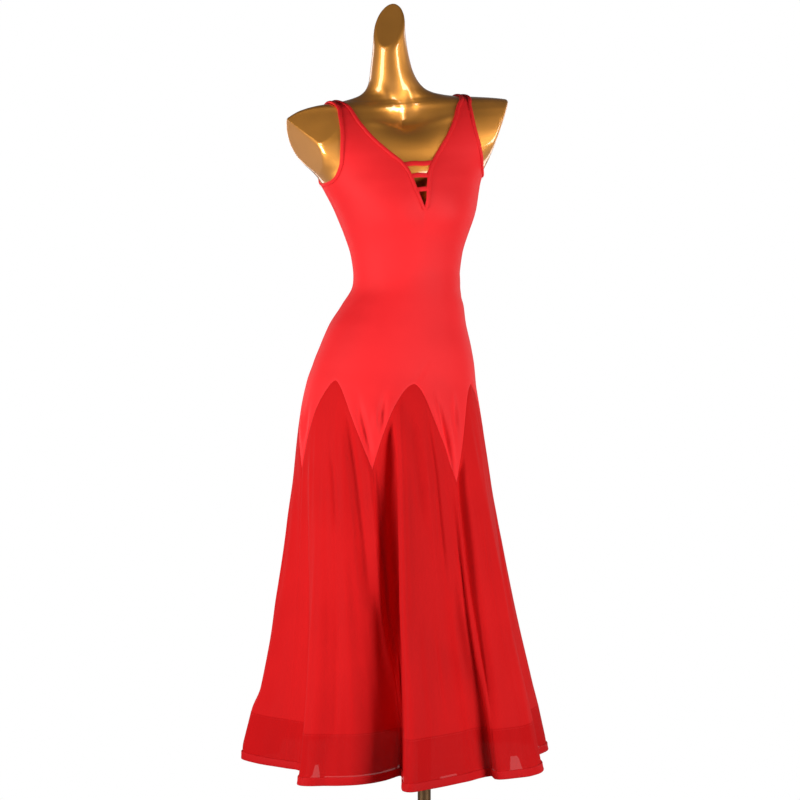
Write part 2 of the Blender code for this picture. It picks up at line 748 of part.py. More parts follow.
def make_hem_band(number, material):
    top = BAND_HEIGHT - SEAM_HEIGHT_GAP / 2
    name = f"hem_band_{number}"
    make_skirt_panel(name, number, BAND_ROWS, top, HEM_HEIGHT, BAND_CLOTH, material)


def make_hem_tape(material):
    """The narrow tape round the hem, on the band's outer face."""
    angles = np.arange(-180, 180, COLUMN_ANGLE)
    heights = np.array([[HEM_HEIGHT], [HEM_HEIGHT + TAPE_WIDTH]]) + 0 * angles
    around = np.broadcast_to(angles, heights.shape)
    normals = dress_normal(heights, around).reshape(-1, 3)
    points = dress_level(heights, around).reshape(-1, 3) + normals * (BAND_CLOTH + BINDING_LIFT)
    faces = grid_faces(2, len(angles), wrap=True)
    make_wall("hem_tape", points, normals, faces, TAPE, material)


# ---- What the dress rests on ---------------------------------------------------------------
def cut_off(mesh, point, direction, lowest):
    """Cuts off what lies beyond a plane, above a height, and closes the cut with a flat face."""
    faces = [face for face in mesh.faces if min(vert.co.z for vert in face.verts) > lowest]
    edges = {edge for face in faces for edge in face.edges}
    verts = {vert for face in faces for vert in face.verts}
    cut = bmesh.ops.bisect_plane(
        mesh,
        geom=sorted(verts, key=lambda v: v.index) + sorted(edges, key=lambda e: e.index) + faces,
        plane_co=point,
        plane_no=direction,
        clear_outer=True,
    )
    edges = [part for part in cut["geom_cut"] if isinstance(part, bmesh.types.BMEdge)]
    bmesh.ops.holes_fill(mesh, edges=edges, sides=0)


def make_form(material):
    """The figure as one smooth body, with a flat underside and flat cuts at arms and neck."""
    angles = np.arange(FIGURE_COLUMNS) * 360 / FIGURE_COLUMNS
    heights = np.array(FIGURE_ROWS)[:, None] + 0 * angles
    points = figure_level(heights, np.broadcast_to(angles, heights.shape)).reshape(-1, 3)
    faces = grid_faces(len(FIGURE_ROWS), FIGURE_COLUMNS, wrap=True)
    last_row = (len(FIGURE_ROWS) - 1) * FIGURE_COLUMNS
    faces.append(tuple(reversed(range(FIGURE_COLUMNS))))
    faces.append(tuple(range(last_row, last_row + FIGURE_COLUMNS)))
    form = make_object("dress_form", points, faces, material)
    mesh = bmesh.new()
    mesh.from_mesh(form.data)
    for side in (-1, 1):
        point = Vector((side * STUMP_CUT_POINT.x, 0, STUMP_CUT_POINT.z))
        outward, down = math.cos(STUMP_CUT_SLANT), math.sin(STUMP_CUT_SLANT)
        direction = Vector((side * outward, -STUMP_CUT_FORWARD, -down)).normalized()
        cut_off(mesh, point, direction, STUMP_LOWEST)
    level = math.sin(NECK_CUT_SLANT)
    facing = NECK_CUT_FACING
    direction = Vector(
        (level * math.sin(facing), -level * math.cos(facing), math.cos(NECK_CUT_SLANT))
    )
    cut_off(mesh, NECK_CUT_POINT, direction, UNDERARM_HEIGHT)
    bmesh.ops.recalc_face_normals(mesh, faces=mesh.faces[:])
    mesh.to_mesh(form.data)
    mesh.free()
    posed = set_pose(np.array([vertex.co for vertex in form.data.vertices]))
    for vertex, place in zip(form.data.vertices, posed):
        vertex.co = Vector([float(value) for value in place])
    form.data.shade_smooth()
    form.data.set_sharp_from_angle(angle=SHARP_ANGLE)


def make_stand(material):
    """A round base with a boss, a pole in its bore, and a flanged socket under the form."""
    edge = STAND_EDGE
    base = [
        (0, 0),
        (BASE_RADIUS - edge, 0),
        (BASE_RADIUS, edge),
        (BASE_RADIUS, BASE_HEIGHT - edge),
        (BASE_RADIUS - edge, BASE_HEIGHT),
        (BOSS_RADIUS + edge, BASE_HEIGHT),
        (BOSS_RADIUS, BASE_HEIGHT + edge),
        (BOSS_RADIUS, BOSS_HEIGHT - edge),
        (BOSS_RADIUS - edge, BOSS_HEIGHT),
        (BORE_RADIUS, BOSS_HEIGHT),
        (BORE_RADIUS, BASE_HEIGHT),
        (0, BASE_HEIGHT),
    ]
    turned("stand_base", base, material)

    socket_top = FORM_BOTTOM - TOUCH_GAP
    socket_bottom = socket_top - SOCKET_HEIGHT
    bore_end = socket_top - SOCKET_ROOF
    flange_bottom = socket_top - SOCKET_FLANGE_THICKNESS
    socket = [
        (0, bore_end),
        (BORE_RADIUS, bore_end),
        (BORE_RADIUS, socket_bottom),
        (SOCKET_RADIUS - edge, socket_bottom),
        (SOCKET_RADIUS, socket_bottom + edge),
        (SOCKET_RADIUS, flange_bottom),
        (SOCKET_FLANGE, flange_bottom),
        (SOCKET_FLANGE, socket_top),
        (0, socket_top),
    ]
    turned("stand_socket", socket, material)

    bottom = BASE_HEIGHT + TOUCH_GAP
    top = bore_end - TOUCH_GAP
    pole = [(0, bottom), (POLE_RADIUS, bottom), (POLE_RADIUS, top), (0, top)]
    turned("stand_pole", pole, material)


def main():
    for obj in list(bpy.data.objects):
        bpy.data.objects.remove(obj, do_unlink=True)
    jersey = make_material("jersey", (0.80, 0.03, 0.04), 0.75)
    chiffon = make_material("chiffon", (0.72, 0.02, 0.03), 0.85)
    gold = make_material("gold_lacquer", (0.50, 0.30, 0.07), 0.25, 0.9)
    bronze = make_material("bronze_paint", (0.25, 0.14, 0.06), 0.35, 0.8)

    make_bodice("bodice_front", True, jersey)
    make_bodice("bodice_back", False, jersey)
    for number, height in enumerate(CROSS_STRAPS, start=1):
        make_cross_strap(f"cross_strap_{number}", height, jersey)
    make_neck_binding("neck_binding_front", True, jersey)
    make_neck_binding("neck_binding_back", False, jersey)
    make_armhole_binding("armhole_binding_left", 1, jersey)
    make_armhole_binding("armhole_binding_right", -1, jersey)
    for number in range(1, GODET_COUNT + 1):
        make_godet(number, chiffon)
        make_hem_band(number, chiffon)
    make_hem_tape(chiffon)
    make_form(gold)
    make_stand(bronze)


main()
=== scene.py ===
"""The looks of a sleeveless ballroom dance dress on a headless, limbless dress form with a stand.

Metres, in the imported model's frame: +Z up, the dress faces -Y and +X is the wearer's left. The
figure and the dress are worked out upright and even on both sides, about a centre line at x = 0,
and set_pose then moves each point to the stance. Angles go round the body from the front, in
degrees: 0 is the front, 90 the wearer's left.
"""

import math

import bmesh
import bpy
import numpy as np
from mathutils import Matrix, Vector


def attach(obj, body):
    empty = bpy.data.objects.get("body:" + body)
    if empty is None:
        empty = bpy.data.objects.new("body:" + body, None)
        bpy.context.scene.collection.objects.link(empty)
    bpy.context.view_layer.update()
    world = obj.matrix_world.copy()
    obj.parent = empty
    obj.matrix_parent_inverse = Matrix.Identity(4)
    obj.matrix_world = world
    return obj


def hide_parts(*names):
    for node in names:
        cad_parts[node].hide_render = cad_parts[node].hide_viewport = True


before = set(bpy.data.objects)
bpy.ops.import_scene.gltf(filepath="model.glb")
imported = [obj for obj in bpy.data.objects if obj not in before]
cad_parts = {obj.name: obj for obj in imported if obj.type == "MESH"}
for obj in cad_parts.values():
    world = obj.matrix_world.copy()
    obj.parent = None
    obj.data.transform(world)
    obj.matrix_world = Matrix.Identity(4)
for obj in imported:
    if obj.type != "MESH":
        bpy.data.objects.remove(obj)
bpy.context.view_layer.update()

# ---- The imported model's sizes --------------------------------------------------------------
HEM_HEIGHT = 0.163
BAND_HEIGHT = 0.253  # seam between the godets and the hem band
FORM_BOTTOM = 0.55
HIP_HEIGHT = 0.879  # the godets' peaks, where the skirt leaves the body
ARCH_SPREAD_HEIGHT = 0.889  # above this the bodice's rows run level
LEVEL_START = 0.940  # above this the bodice is two halves, which part at the neckline
KEYHOLE_HEIGHT = 1.200
BACK_SCOOP_HEIGHT = 1.150
UNDERARM_HEIGHT = 1.250
NECK_CUT_HEIGHT = 1.538

CLOTH_GAP = 0.0010  # between the form and the dress
JERSEY = 0.0012
CHIFFON = 0.0010
BAND_CLOTH = 0.0012
TAPE_WIDTH = 0.015

GODET_COUNT = 6
GODET_ANGLE = 360 / GODET_COUNT
GODET_ARCH_POWER = 1.55
# Height of the bodice's point after each godet: godets 1 to 6, going round from the front.
SEAM_TIPS = np.array([0.702, 0.708, 0.710, 0.710, 0.710, 0.722])
# How far the godets' cloth is turned round the hip from even angles: angle, turn.
CLOTH_TURN = np.array([
    (-180, 0), (-150, -4), (-120, -3), (-90, 0), (-60, 6), (-30, 4), (0, 2),
    (30, -7), (60, -6), (90, 0), (120, 3), (150, 4), (180, 0),
], float)
TURN_END_HEIGHT = 0.940  # above this the cloth isn't turned

# height, half width, depth in front of the centre line, depth behind it, corner power
FIGURE = np.array([
    (0.550, 0.1300, 0.0780, 0.0980, 2.3),
    (0.620, 0.1420, 0.0880, 0.1080, 2.3),
    (0.720, 0.1540, 0.0970, 0.1170, 2.2),
    (0.800, 0.1545, 0.1020, 0.1220, 2.2),
    (0.868, 0.1568, 0.1054, 0.1240, 2.2),
    (0.905, 0.1508, 0.1035, 0.1195, 2.15),
    (0.940, 0.1410, 0.1000, 0.1120, 2.15),
    (0.980, 0.1283, 0.0930, 0.0980, 2.1),
    (1.018, 0.1135, 0.0860, 0.0880, 2.1),
    (1.055, 0.0993, 0.0810, 0.0810, 2.1),
    (1.074, 0.0984, 0.0800, 0.0790, 2.1),
    (1.110, 0.1024, 0.0860, 0.0800, 2.1),
    (1.150, 0.1140, 0.0980, 0.0840, 2.1),
    (1.186, 0.1270, 0.1100, 0.0880, 2.1),
    (1.223, 0.1400, 0.1160, 0.0910, 2.1),
    (1.250, 0.1510, 0.1130, 0.0925, 2.1),
    (1.262, 0.1580, 0.1100, 0.0930, 2.05),
    (1.275, 0.1690, 0.1060, 0.0930, 2.0),
    (1.290, 0.1880, 0.1000, 0.0920, 2.0),
    (1.310, 0.2180, 0.0930, 0.0890, 2.0),
    (1.335, 0.2430, 0.0830, 0.0820, 2.0),
    (1.355, 0.2480, 0.0730, 0.0730, 2.0),
    (1.370, 0.2410, 0.0640, 0.0640, 2.0),
    (1.380, 0.2300, 0.0580, 0.0590, 1.9),
    (1.388, 0.2100, 0.0540, 0.0560, 1.8),
    (1.3925, 0.1860, 0.0510, 0.0530, 1.7),
    (1.3965, 0.1520, 0.0480, 0.0510, 1.6),
    (1.4000, 0.1150, 0.0460, 0.0490, 1.6),
    (1.4045, 0.0880, 0.0445, 0.0475, 1.7),
    (1.4100, 0.0690, 0.0435, 0.0465, 1.8),
    (1.4190, 0.0550, 0.0420, 0.0450, 1.9),
    (1.4360, 0.0440, 0.0405, 0.0420, 2.0),
    (1.4620, 0.0370, 0.0370, 0.0380, 2.0),
    (1.5000, 0.0310, 0.0330, 0.0330, 2.0),
    (1.5300, 0.0287, 0.0310, 0.0310, 2.0),
    (1.6200, 0.0280, 0.0300, 0.0300, 2.0),
])
RIDGE_SEARCH = (1.34, 1.45)  # heights between which a shoulder's top line lies
# The form's relief. A span is where something starts, over what length it fades in, where it
# ends and over what length it fades out.
THROAT_FADE = 0.02  # metres in front of the centre line over which the relief starts
# Dips in the throat: middle x and height, half width, half height, depth.
THROAT_DIPS = [
    (-0.005, 1.368, 0.046, 0.027, 0.024),
    (-0.008, 1.362, 0.010, 0.012, 0.0035),
]
HOLLOW_SPAN = (1.160, 0.040, 1.260, 0.022)  # heights of the hollow between the breasts
HOLLOW_HALF_WIDTH = 0.026
HOLLOW_DEPTH = 0.034
CORD_SPAN = (1.342, 0.020, 1.440, 0.060)  # heights of the neck's two cords
CORD_MIDDLE = -0.008
CORD_OFFSET = 0.010  # from their middle, low down
CORD_SPREAD = 0.022  # how much further apart each is at the top
CORD_PART_HEIGHT, CORD_PART_RISE = 1.355, 0.10
CORD_HALF_WIDTH = 0.007
CORD_DEPTH = 0.0028
BONE_SPAN = (0.010, 0.015, 0.098, 0.030)  # metres out from the centre line, for a collar bone
BONE_HEIGHT = 1.348
BONE_CLIMB = 0.16  # rise for each metre outwards
BONE_HALF_HEIGHT = 0.006
BONE_DEPTH = 0.0016
BUST_X, BUST_HEIGHT = 0.062, 1.187
BUST_HALF_WIDTH, BUST_HALF_HEIGHT = 0.048, 0.034
BUST_FULLNESS = 0.008
BUST_FADE = 0.03  # metres in front of the centre line over which it starts

STUMP_CUT_POINT = Vector((0.190, 0, 1.330))  # the wearer's left, and the right mirrors it
STUMP_CUT_SLANT = math.radians(22)  # below level, the way the cut looks
STUMP_CUT_FORWARD = 0.22  # how far that way leans forward
STUMP_LOWEST = 1.249  # the cut leaves the body below alone
NECK_CUT_POINT = Vector((0, 0, NECK_CUT_HEIGHT))
NECK_CUT_SLANT = math.radians(55)
NECK_CUT_FACING = math.radians(-37)  # the way the cut looks, round from the front
CUT_EDGE = 0.0055  # radius of a cut's rounded edge
CUT_EDGE_TURNS = (0, 22.5, 45, 67.5)  # degrees round the edge at which its rows lie
CUT_INSET = 0.0015  # the width of a rim inside a cut's flat face, which keeps its shading flat

# height, shift towards +X, rise for each metre towards +X
STANCE = np.array([
    (0.163, -0.0586, 0.00), (0.300, -0.0555, 0.00), (0.400, -0.0570, 0.00), (0.550, -0.0590, 0.00),
    (0.700, -0.0620, -0.05), (0.820, -0.0645, -0.05), (0.868, -0.0634, -0.05),
    (0.905, -0.0592, -0.04), (0.940, -0.0555, -0.03), (0.980, -0.0525, -0.01),
    (1.020, -0.0428, 0.00), (1.065, -0.0352, 0.01), (1.120, -0.0358, 0.02), (1.190, -0.0382, 0.035),
    (1.250, -0.0460, 0.050), (1.310, -0.0485, 0.060), (1.380, -0.0475, 0.070),
    (1.420, -0.0590, 0.050), (1.460, -0.0660, 0.020), (1.530, -0.0690, 0.000),
    (1.640, -0.0700, 0.000),
])

SKIRT_RADIUS = 0.262
FLARE_POWER = 1.2
HIP_SPRING = 1.2  # how readily it starts to widen at the hips
HIP_SPRING_FADE = 6
FLUTE_POWER = 1.5
HIP_EASE = 0.03  # metres above and below the hips over which the skirt's slope turns
# One row for each turn of the hem: the cloth's angle at the hip, its angle and radius at the hem.
FLUTES = np.array([
    (-165, -163, 0.225), (-150, -152, 0.215), (-140, -143, 0.285), (-128, -130, 0.250),
    (-118, -120, 0.225), (-106, -107, 0.284), (-98, -98, 0.262), (-90, -86, 0.222),
    (-80, -73, 0.205), (-70, -56, 0.277), (-62, -47, 0.256), (-54, -40, 0.240), (-46, -33, 0.220),
    (-38, -25, 0.188), (-32, -17, 0.141), (-26, -9, 0.144), (-20, -14, 0.266), (-10, -4, 0.257),
    (2, 8, 0.239), (13, 20, 0.231), (23, 32, 0.232), (31, 29, 0.258), (38, 37, 0.280),
    (45, 42, 0.291), (54, 50, 0.293), (64, 62, 0.268), (74, 73, 0.262), (86, 86, 0.300),
    (98, 98, 0.278), (108, 106, 0.235), (118, 116, 0.215), (127, 128, 0.290), (140, 142, 0.262),
    (150, 153, 0.228), (160, 163, 0.232), (171, 174, 0.285), (183, 186, 0.262),
])

# The front flute leans: how many degrees of cloth it has moved round at a height.
FLUTE_DRIFT = np.array([(0.163, 0.0), (0.30, 2.0), (0.45, 4.5), (0.60, 7.0), (0.75, 8.5)])
DRIFT_MIDDLE, DRIFT_REACH = -20.0, 17.0  # cloth angles that take part

STRAP_INNER = 0.116
STRAP_OUTER = 0.132
# The straps sit a little towards the wearer's right: height, shift towards +X.
STRAP_SHIFT = np.array([
    (1.286, 0.0000), (1.310, -0.0035), (1.335, -0.0060), (1.375, -0.0075), (1.395, -0.0020),
])
# height, distance from the centre line
NECK_FRONT = np.array([
    (KEYHOLE_HEIGHT, 0.0000), (1.210, 0.0035), (1.225, 0.0075), (1.250, 0.0135), (1.265, 0.0180),
    (1.281, 0.0270), (1.307, 0.0505), (1.333, 0.0730), (1.360, 0.0905), (1.385, 0.1030),
])
ARM_FRONT = np.array([
    (1.2535, 0.1480), (1.262, 0.1415), (1.280, 0.1370), (1.310, 0.1325), (1.350, 0.1275),
    (1.380, 0.1270),
])
ARM_BACK = np.array([
    (1.256, 0.1467), (1.264, 0.1450), (1.275, 0.1455), (1.290, 0.1470), (1.310, 0.1430),
    (1.350, 0.1390), (1.380, 0.1345),
])
SCOOP_HALF_WIDTH = 0.094
NECK_BACK_TOP = np.array([(1.310, 0.1010), (1.370, 0.1100)])
CROSS_STRAPS = (1.2325, 1.2575, 1.2790)
CROSS_STRAP_WIDTH = 0.0085
CROSS_STRAP_THICKNESS = 0.0016
CROSS_STRAP_TUCK = 0.003  # how far a cross strap's ends run on under the binding
CROSS_STRAP_WAVE = 0.0006  # how unevenly it lies
CROSS_STRAP_WAVES = 160.0  # in a metre, counted in radians
CROSS_STRAP_CORNER = 0.8  # 1 makes its section an ellipse, less fills out the corners
CROSS_STRAP_SIDES = 12
CROSS_STRAP_COLUMNS = 21

# A binding's section: metres in from the cloth's edge, and metres off the figure.
BINDING_SECTION = [
    (-0.0002, 0.0008), (-0.0010, 0.0016), (-0.0012, 0.0027), (-0.0006, 0.0038), (0.0008, 0.0045),
    (0.0028, 0.0047), (0.0046, 0.0044), (0.0054, 0.0037), (0.0056, 0.0026),
]
# The tape's section: metres up from the hem, and metres off the dress's inner face.
TAPE_SECTION = [
    (0.0000, 0.0016), (0.0003, 0.0030), (0.0014, 0.0035), (0.0075, 0.0033), (0.0136, 0.0035),
    (0.0148, 0.0030), (0.0150, 0.0018),
]
INNER_LAYER_GAP = 0.0022  # between the band's two layers
TAPE_OVERLAP = 0.002  # of the inner layer's foot, behind the tape
# Where the inner layer is caught up and light shows through: angle, half width, metres up.
THIN_SPOTS = [
    (-65.0, 1.2, 0.024), (-48.0, 15.0, 0.004), (-30.0, 3.0, 0.008), (0.5, 5.0, 0.005),
    (37.3, 2.2, 0.026), (74.0, 5.0, 0.005), (118.0, 2.0, 0.022), (150.0, 11.0, 0.005),
    (197.0, 2.5, 0.018), (-148.0, 10.0, 0.005), (-112.0, 1.8, 0.022),
]
THIN_SPOT_EDGE = 0.7  # degrees

STITCH_LENGTH = 0.0024
STITCH_PITCH = 0.0034
STITCH_RADIUS = 0.00028
STITCH_LEAN = 0.2  # from upright, so that the way across a thread is never along it
# Rows of stitches round the skirt: height, and metres off the dress's inner face.
SKIRT_STITCHES = [
    (HEM_HEIGHT + 0.0022, 0.0036),
    (HEM_HEIGHT + 0.0128, 0.0036),
    (BAND_HEIGHT - 0.003, BAND_CLOTH + 0.0001),
]
BINDING_STITCHES = (0.0046, 0.0045)  # metres in from the cloth's edge, and off the figure
NECK_STITCH_POINTS, ARMHOLE_STITCH_POINTS = 400, 300

POLE_RADIUS = 0.0125
BORE_RADIUS = 0.0128
BASE_RADIUS = 0.180
BASE_HEIGHT = 0.012
BOSS_RADIUS = 0.027
BOSS_HEIGHT = 0.045
SOCKET_RADIUS = 0.030
SOCKET_FLANGE = 0.046
SOCKET_HEIGHT = 0.060
SOCKET_FLANGE_THICKNESS = 0.006
SOCKET_ROOF = 0.008
FLANGE_CHAMFER = 0.001
STAND_EDGE = 0.003
TOUCH_GAP = 0.0003

# ---- How fine the meshes are ---------------------------------------------------------------
SKIRT_COLUMN = 0.75  # degrees between a godet's columns
SEAM_COLUMNS = (0.0, 0.35, 0.8)  # degrees in from a seam, for its groove
SEAM_MARGIN = 1.5  # degrees in from a seam, where the even columns start
GODET_ROWS = 84
BAND_ROWS = 14
BODICE_COLUMNS = 61  # on each side of each panel
ARCH_ROWS = 26
HIP_ROWS = 9
LEVEL_ROWS = 64
GAP_ROWS = LEVEL_ROWS // 3  # of them, beside the neckline
RISE_ROWS = 44
FORM_COLUMNS = 144
FORM_ROWS = 190
TURNED_STEPS = 144
CORNER_STEPS = 6
NUMERIC_STEP = 0.2  # degrees, for the skirt's normals
SLOPE_STEP = 2e-4  # metres, for the figure's normals
HEIGHT_STEP = 5e-4  # metres, for the skirt's normals
WELD_DISTANCE = 2e-5
ROUNDING = 1e-6  # metres by which equal places may differ
RIDGE_STEPS = 600  # heights at which a shoulder's top line is looked for
EDGE_STEPS = 400  # heights at which an edge over the shoulder is worked out
SCOOP_STEPS = 12
PROJECTION_STEPS = 4  # enough to bring a point that is near the skin onto it
SHARP_ANGLE = math.radians(35)  # edges that turn by more stay sharp
ARCH_ROW_POWER = 1.3  # how the bodice's lower rows crowd towards the arches
NECKLINE_ROW_POWER = 1.6  # how its rows crowd towards the neckline's lowest point

# ---- Creases -------------------------------------------------------------------------------
CREASE_FADE = 0.30  # share of a crease's height over which each end fades
# Skirt creases: top height and cloth angle, middle height and angle, foot height and angle,
# half width in degrees, depth in metres (a ridge is above 0, a trough below).
SKIRT_CREASES = [
    # Godet 6, on the wearer's right in front, and the seam between it and godet 1.
    (0.76, -78, 0.64, -78, 0.50, -77, 2.4, 0.0035),
    (0.76, -60, 0.69, -58, 0.60, -57, 2.2, -0.0040),
    (0.58, -65, 0.38, -66, 0.00, -66, 3.6, 0.0060),
    (0.50, -76, 0.30, -75, 0.05, -75, 3.0, -0.0050),
    (0.86, -48, 0.70, -42, 0.44, -37, 3.8, -0.0125),
    (0.80, -33, 0.60, -32, 0.30, -32, 1.4, 0.0060),
    (0.78, -28, 0.60, -28, 0.30, -28, 1.1, -0.0050),
    (0.62, -52, 0.45, -51, 0.20, -50, 2.6, 0.0040),
    (0.48, -57, 0.34, -58, 0.22, -59, 2.0, -0.0035),
    # Godet 1, in front.
    (0.88, -15, 0.66, -19, 0.34, -25, 3.0, -0.0175),
    (0.80, -21, 0.60, -26, 0.34, -31, 4.2, -0.0060),
    (0.92, -9, 0.66, -12, 0.30, -17, 2.2, 0.0075),
    (0.86, -3, 0.75, -3, 0.60, -1, 2.6, -0.0040),
    (0.85, 9, 0.70, 12, 0.50, 11, 1.6, -0.0040),
    (0.80, 5, 0.66, 5, 0.48, 4, 2.2, 0.0030),
    (0.50, -9, 0.36, -10, 0.20, -10, 2.6, 0.0040),
    (0.44, -1, 0.36, -1, 0.27, 0, 1.1, 0.0028),
    (0.46, -28, 0.28, -29, 0.02, -30, 5.5, 0.0140),
    (0.56, 16, 0.38, 16, 0.10, 17, 5.5, -0.0120),
    (0.62, 19, 0.47, 20, 0.30, 21, 2.2, 0.0035),
    # Godet 2, on the wearer's left in front.
    (0.90, 38, 0.64, 33, 0.20, 31, 2.4, -0.0150),
    (0.78, 31, 0.60, 31, 0.40, 31, 1.0, -0.0040),
    (0.72, 28, 0.55, 28, 0.25, 26, 2.0, 0.0045),
    (0.76, 55, 0.62, 54, 0.40, 52, 3.6, 0.0030),
    (0.66, 47, 0.50, 44, 0.30, 43, 2.0, -0.0035),
    (0.60, 68, 0.44, 69, 0.18, 70, 3.0, -0.0050),
    (0.72, 76, 0.55, 77, 0.36, 79, 2.3, 0.0035),
    (0.30, 73, 0.23, 74, 0.15, 75, 9.0, 0.0080),
    # Godet 3, behind the wearer's left.
    (0.80, 104, 0.64, 106, 0.42, 107, 2.6, -0.0060),
    (0.74, 114, 0.58, 112, 0.34, 111, 2.2, 0.0040),
    (0.60, 124, 0.42, 123, 0.10, 123, 3.2, -0.0060),
    (0.52, 134, 0.36, 135, 0.20, 136, 2.4, 0.0045),
    (0.78, 139, 0.66, 140, 0.52, 142, 1.8, -0.0035),
    # Godet 4, behind.
    (0.85, 176, 0.70, 177, 0.50, 179, 2.4, -0.0055),
    (0.76, 190, 0.60, 189, 0.36, 188, 2.8, 0.0045),
    (0.66, 165, 0.48, 166, 0.20, 167, 3.0, -0.0065),
    (0.56, 200, 0.42, 202, 0.24, 203, 2.2, -0.0045),
    (0.46, 157, 0.34, 156, 0.14, 156, 2.6, 0.0050),
    # Godet 5, behind the wearer's right.
    (0.82, -128, 0.65, -125, 0.44, -124, 2.6, -0.0065),
    (0.74, -136, 0.58, -135, 0.30, -134, 3.0, 0.0045),
    (0.58, -112, 0.40, -111, 0.08, -111, 3.2, -0.0060),
    (0.70, -104, 0.55, -105, 0.38, -106, 2.0, 0.0035),
    (0.52, -142, 0.38, -143, 0.22, -145, 2.2, -0.0045),
    (0.30, -104, 0.23, -105, 0.15, -106, 9.0, 0.0070),
]
# Shallow, irregular waves of light cloth: waves round the skirt, waves up it, phase, depth.
RIPPLES = [
    (31, 1.3, 0.4, 0.0007),
    (47, -2.1, 1.9, 0.0005),
    (67, 1.7, 3.3, 0.0002),
]
RIPPLE_FADE = 0.10  # metres below the seam over which they start
RIPPLE_SWELLS = 5  # places round the skirt where they are deepest
RIPPLE_SWELL_PHASE = 3  # times a ripple's own phase: the phase of those places
RIPPLE_MEAN, RIPPLE_SWING = 0.55, 0.45  # shares of their depth

# Soft folds pulled towards the bodice's points: a height and angle at each end, half width and
# depth in metres.
BODICE_FOLDS = [
    (0.870, -40, 0.712, -28, 0.0060, -0.0110),
    (0.866, -30, 0.770, -23, 0.0050, 0.0040),
    (0.862, -28, 0.790, -28, 0.0040, -0.0026),
    (0.872, -18, 0.776, -24, 0.0045, -0.0060),
    (0.862, -15, 0.790, -20, 0.0035, 0.0022),
    (0.872, 17, 0.700, 27, 0.0050, 0.0038),
    (0.876, 21, 0.690, 29, 0.0045, -0.0085),
    (0.850, 31, 0.715, 31, 0.0040, 0.0032),
    (0.874, 38, 0.770, 34, 0.0045, -0.0060),
    (0.905, 2, 0.895, 9, 0.0220, -0.0014),
    (0.549, 2, 0.549, 15, 0.0035, -0.0012),
    (0.850, 84, 0.740, 89, 0.0070, -0.0028),
    (0.845, 97, 0.745, 91, 0.0060, 0.0026),
    (0.850, 143, 0.740, 149, 0.0065, 0.0028),
    (0.835, 157, 0.745, 151, 0.0070, -0.0030),
    (0.850, 203, 0.740, 209, 0.0065, -0.0026),
    (0.840, 218, 0.745, 211, 0.0060, 0.0028),
    (0.850, -97, 0.740, -91, 0.0065, 0.0026),
    (0.845, -83, 0.745, -89, 0.0060, -0.0026),
    (1.045, 62, 1.010, 96, 0.0070, -0.0012),
    (1.082, 66, 1.062, 104, 0.0060, -0.0010),
    (1.060, -70, 1.085, -108, 0.0070, -0.0012),
    (1.020, -60, 1.040, -92, 0.0060, -0.0009),
    (1.040, 140, 1.050, 200, 0.0080, -0.0014),
    (1.085, 150, 1.078, 205, 0.0070, -0.0011),
]
FOLD_RADIUS = 0.13  # metres round the body, over which a fold's angles are measured

FORM_CLEARANCE = 0.0015  # the deepest dip of cloth that lies on the form
TIP_CLEARANCE = 0.10  # how much deeper a dip may be for each metre below the hips
SEAM_GROOVE = 0.0008
SEAM_GROOVE_ANGLE = 0.45  # degrees
SEAM_GROOVE_HEIGHT = 0.003
SEAM_GROOVE_START = 0.004  # metres below the arch over which an upright seam's groove starts
PUCKER_DEPTH = 0.0005
PUCKER_WAVES = 420.0  # in a metre, counted in radians
PUCKER_BEAT = 0.37  # a second, slower wave that breaks up the first
PUCKER_REACH = 1.6  # degrees
RELIEF_START = 0.03  # metres below the seam over which the skirt's creases start
FREE_START = 0.12  # metres below the seam over which the cloth comes free of the form
FREE_SHARE = 0.25  # how free it already is at the seam

# ---- The camera ----------------------------------------------------------------------------
CAMERA_AZIMUTH = math.radians(-18)
CAMERA_DISTANCE = 4.5
CAMERA_HEIGHT = 1.19
AIM_HEIGHT = 0.84
AIM_RIGHT = -0.046  # the aim passes this far to the right of the pole
LENS = 108.27  # mm, on a 36 mm sensor
# ---- Lights and floor ----------------------------------------------------------------------
# name, degrees from the camera's side, distance, height, aim height, width, tallness, watts
SOFTBOXES = [
    ("left", -54, 1.95, 0.76, 0.92, 0.9, 1.2, 37),
    ("right", 50, 1.95, 0.76, 0.92, 0.8, 1.2, 34),
    ("back_left", -142, 2.6, 1.10, 0.90, 0.8, 1.6, 9),
    ("back_right", 140, 2.6, 1.10, 0.90, 0.8, 1.6, 9),
]
# Lights that fall on the lacquered form alone, for its long highlights.
FORM_LIGHTS = [
    ("form_left", -52, 2.3, 2.05, 1.50, 0.85, 1.9, 26.0),
    ("form_right", 42, 2.3, 1.80, 1.50, 0.50, 1.5, 14.5),
    ("form_side", 88, 2.0, 1.45, 1.34, 0.35, 0.9, 6.0),
]
WORLD_LOW, WORLD_HIGH = 0.22, 0.045  # how bright it is as light, at the horizon and overhead
WORLD_TURN = 0.7  # how far up it has turned, as a share of straight up
FLOOR_RADIUS = 40.0
FLOOR_STEP = 5  # degrees between the points of its rim
FLOOR_ROUGHNESS, FLOOR_SHINE = 0.7, 0.1
FLOOR_DROP = 0.0005  # below the stand's underside
# Distances from the stand's middle over which the floor turns white. It is well on its way
# at the middle, so the first is below 0.
FLOOR_NEAR, FLOOR_FAR = -1.4, 0.3
FLOOR_GLOW = 0.22  # how bright the far floor is as light on the dress
FLOOR_SEEN = (0.90, 0.90, 0.90)  # near the stand, as the camera sees it
FLOOR_AS_LIGHT = (0.40, 0.40, 0.40)  # near the stand, as light on the dress

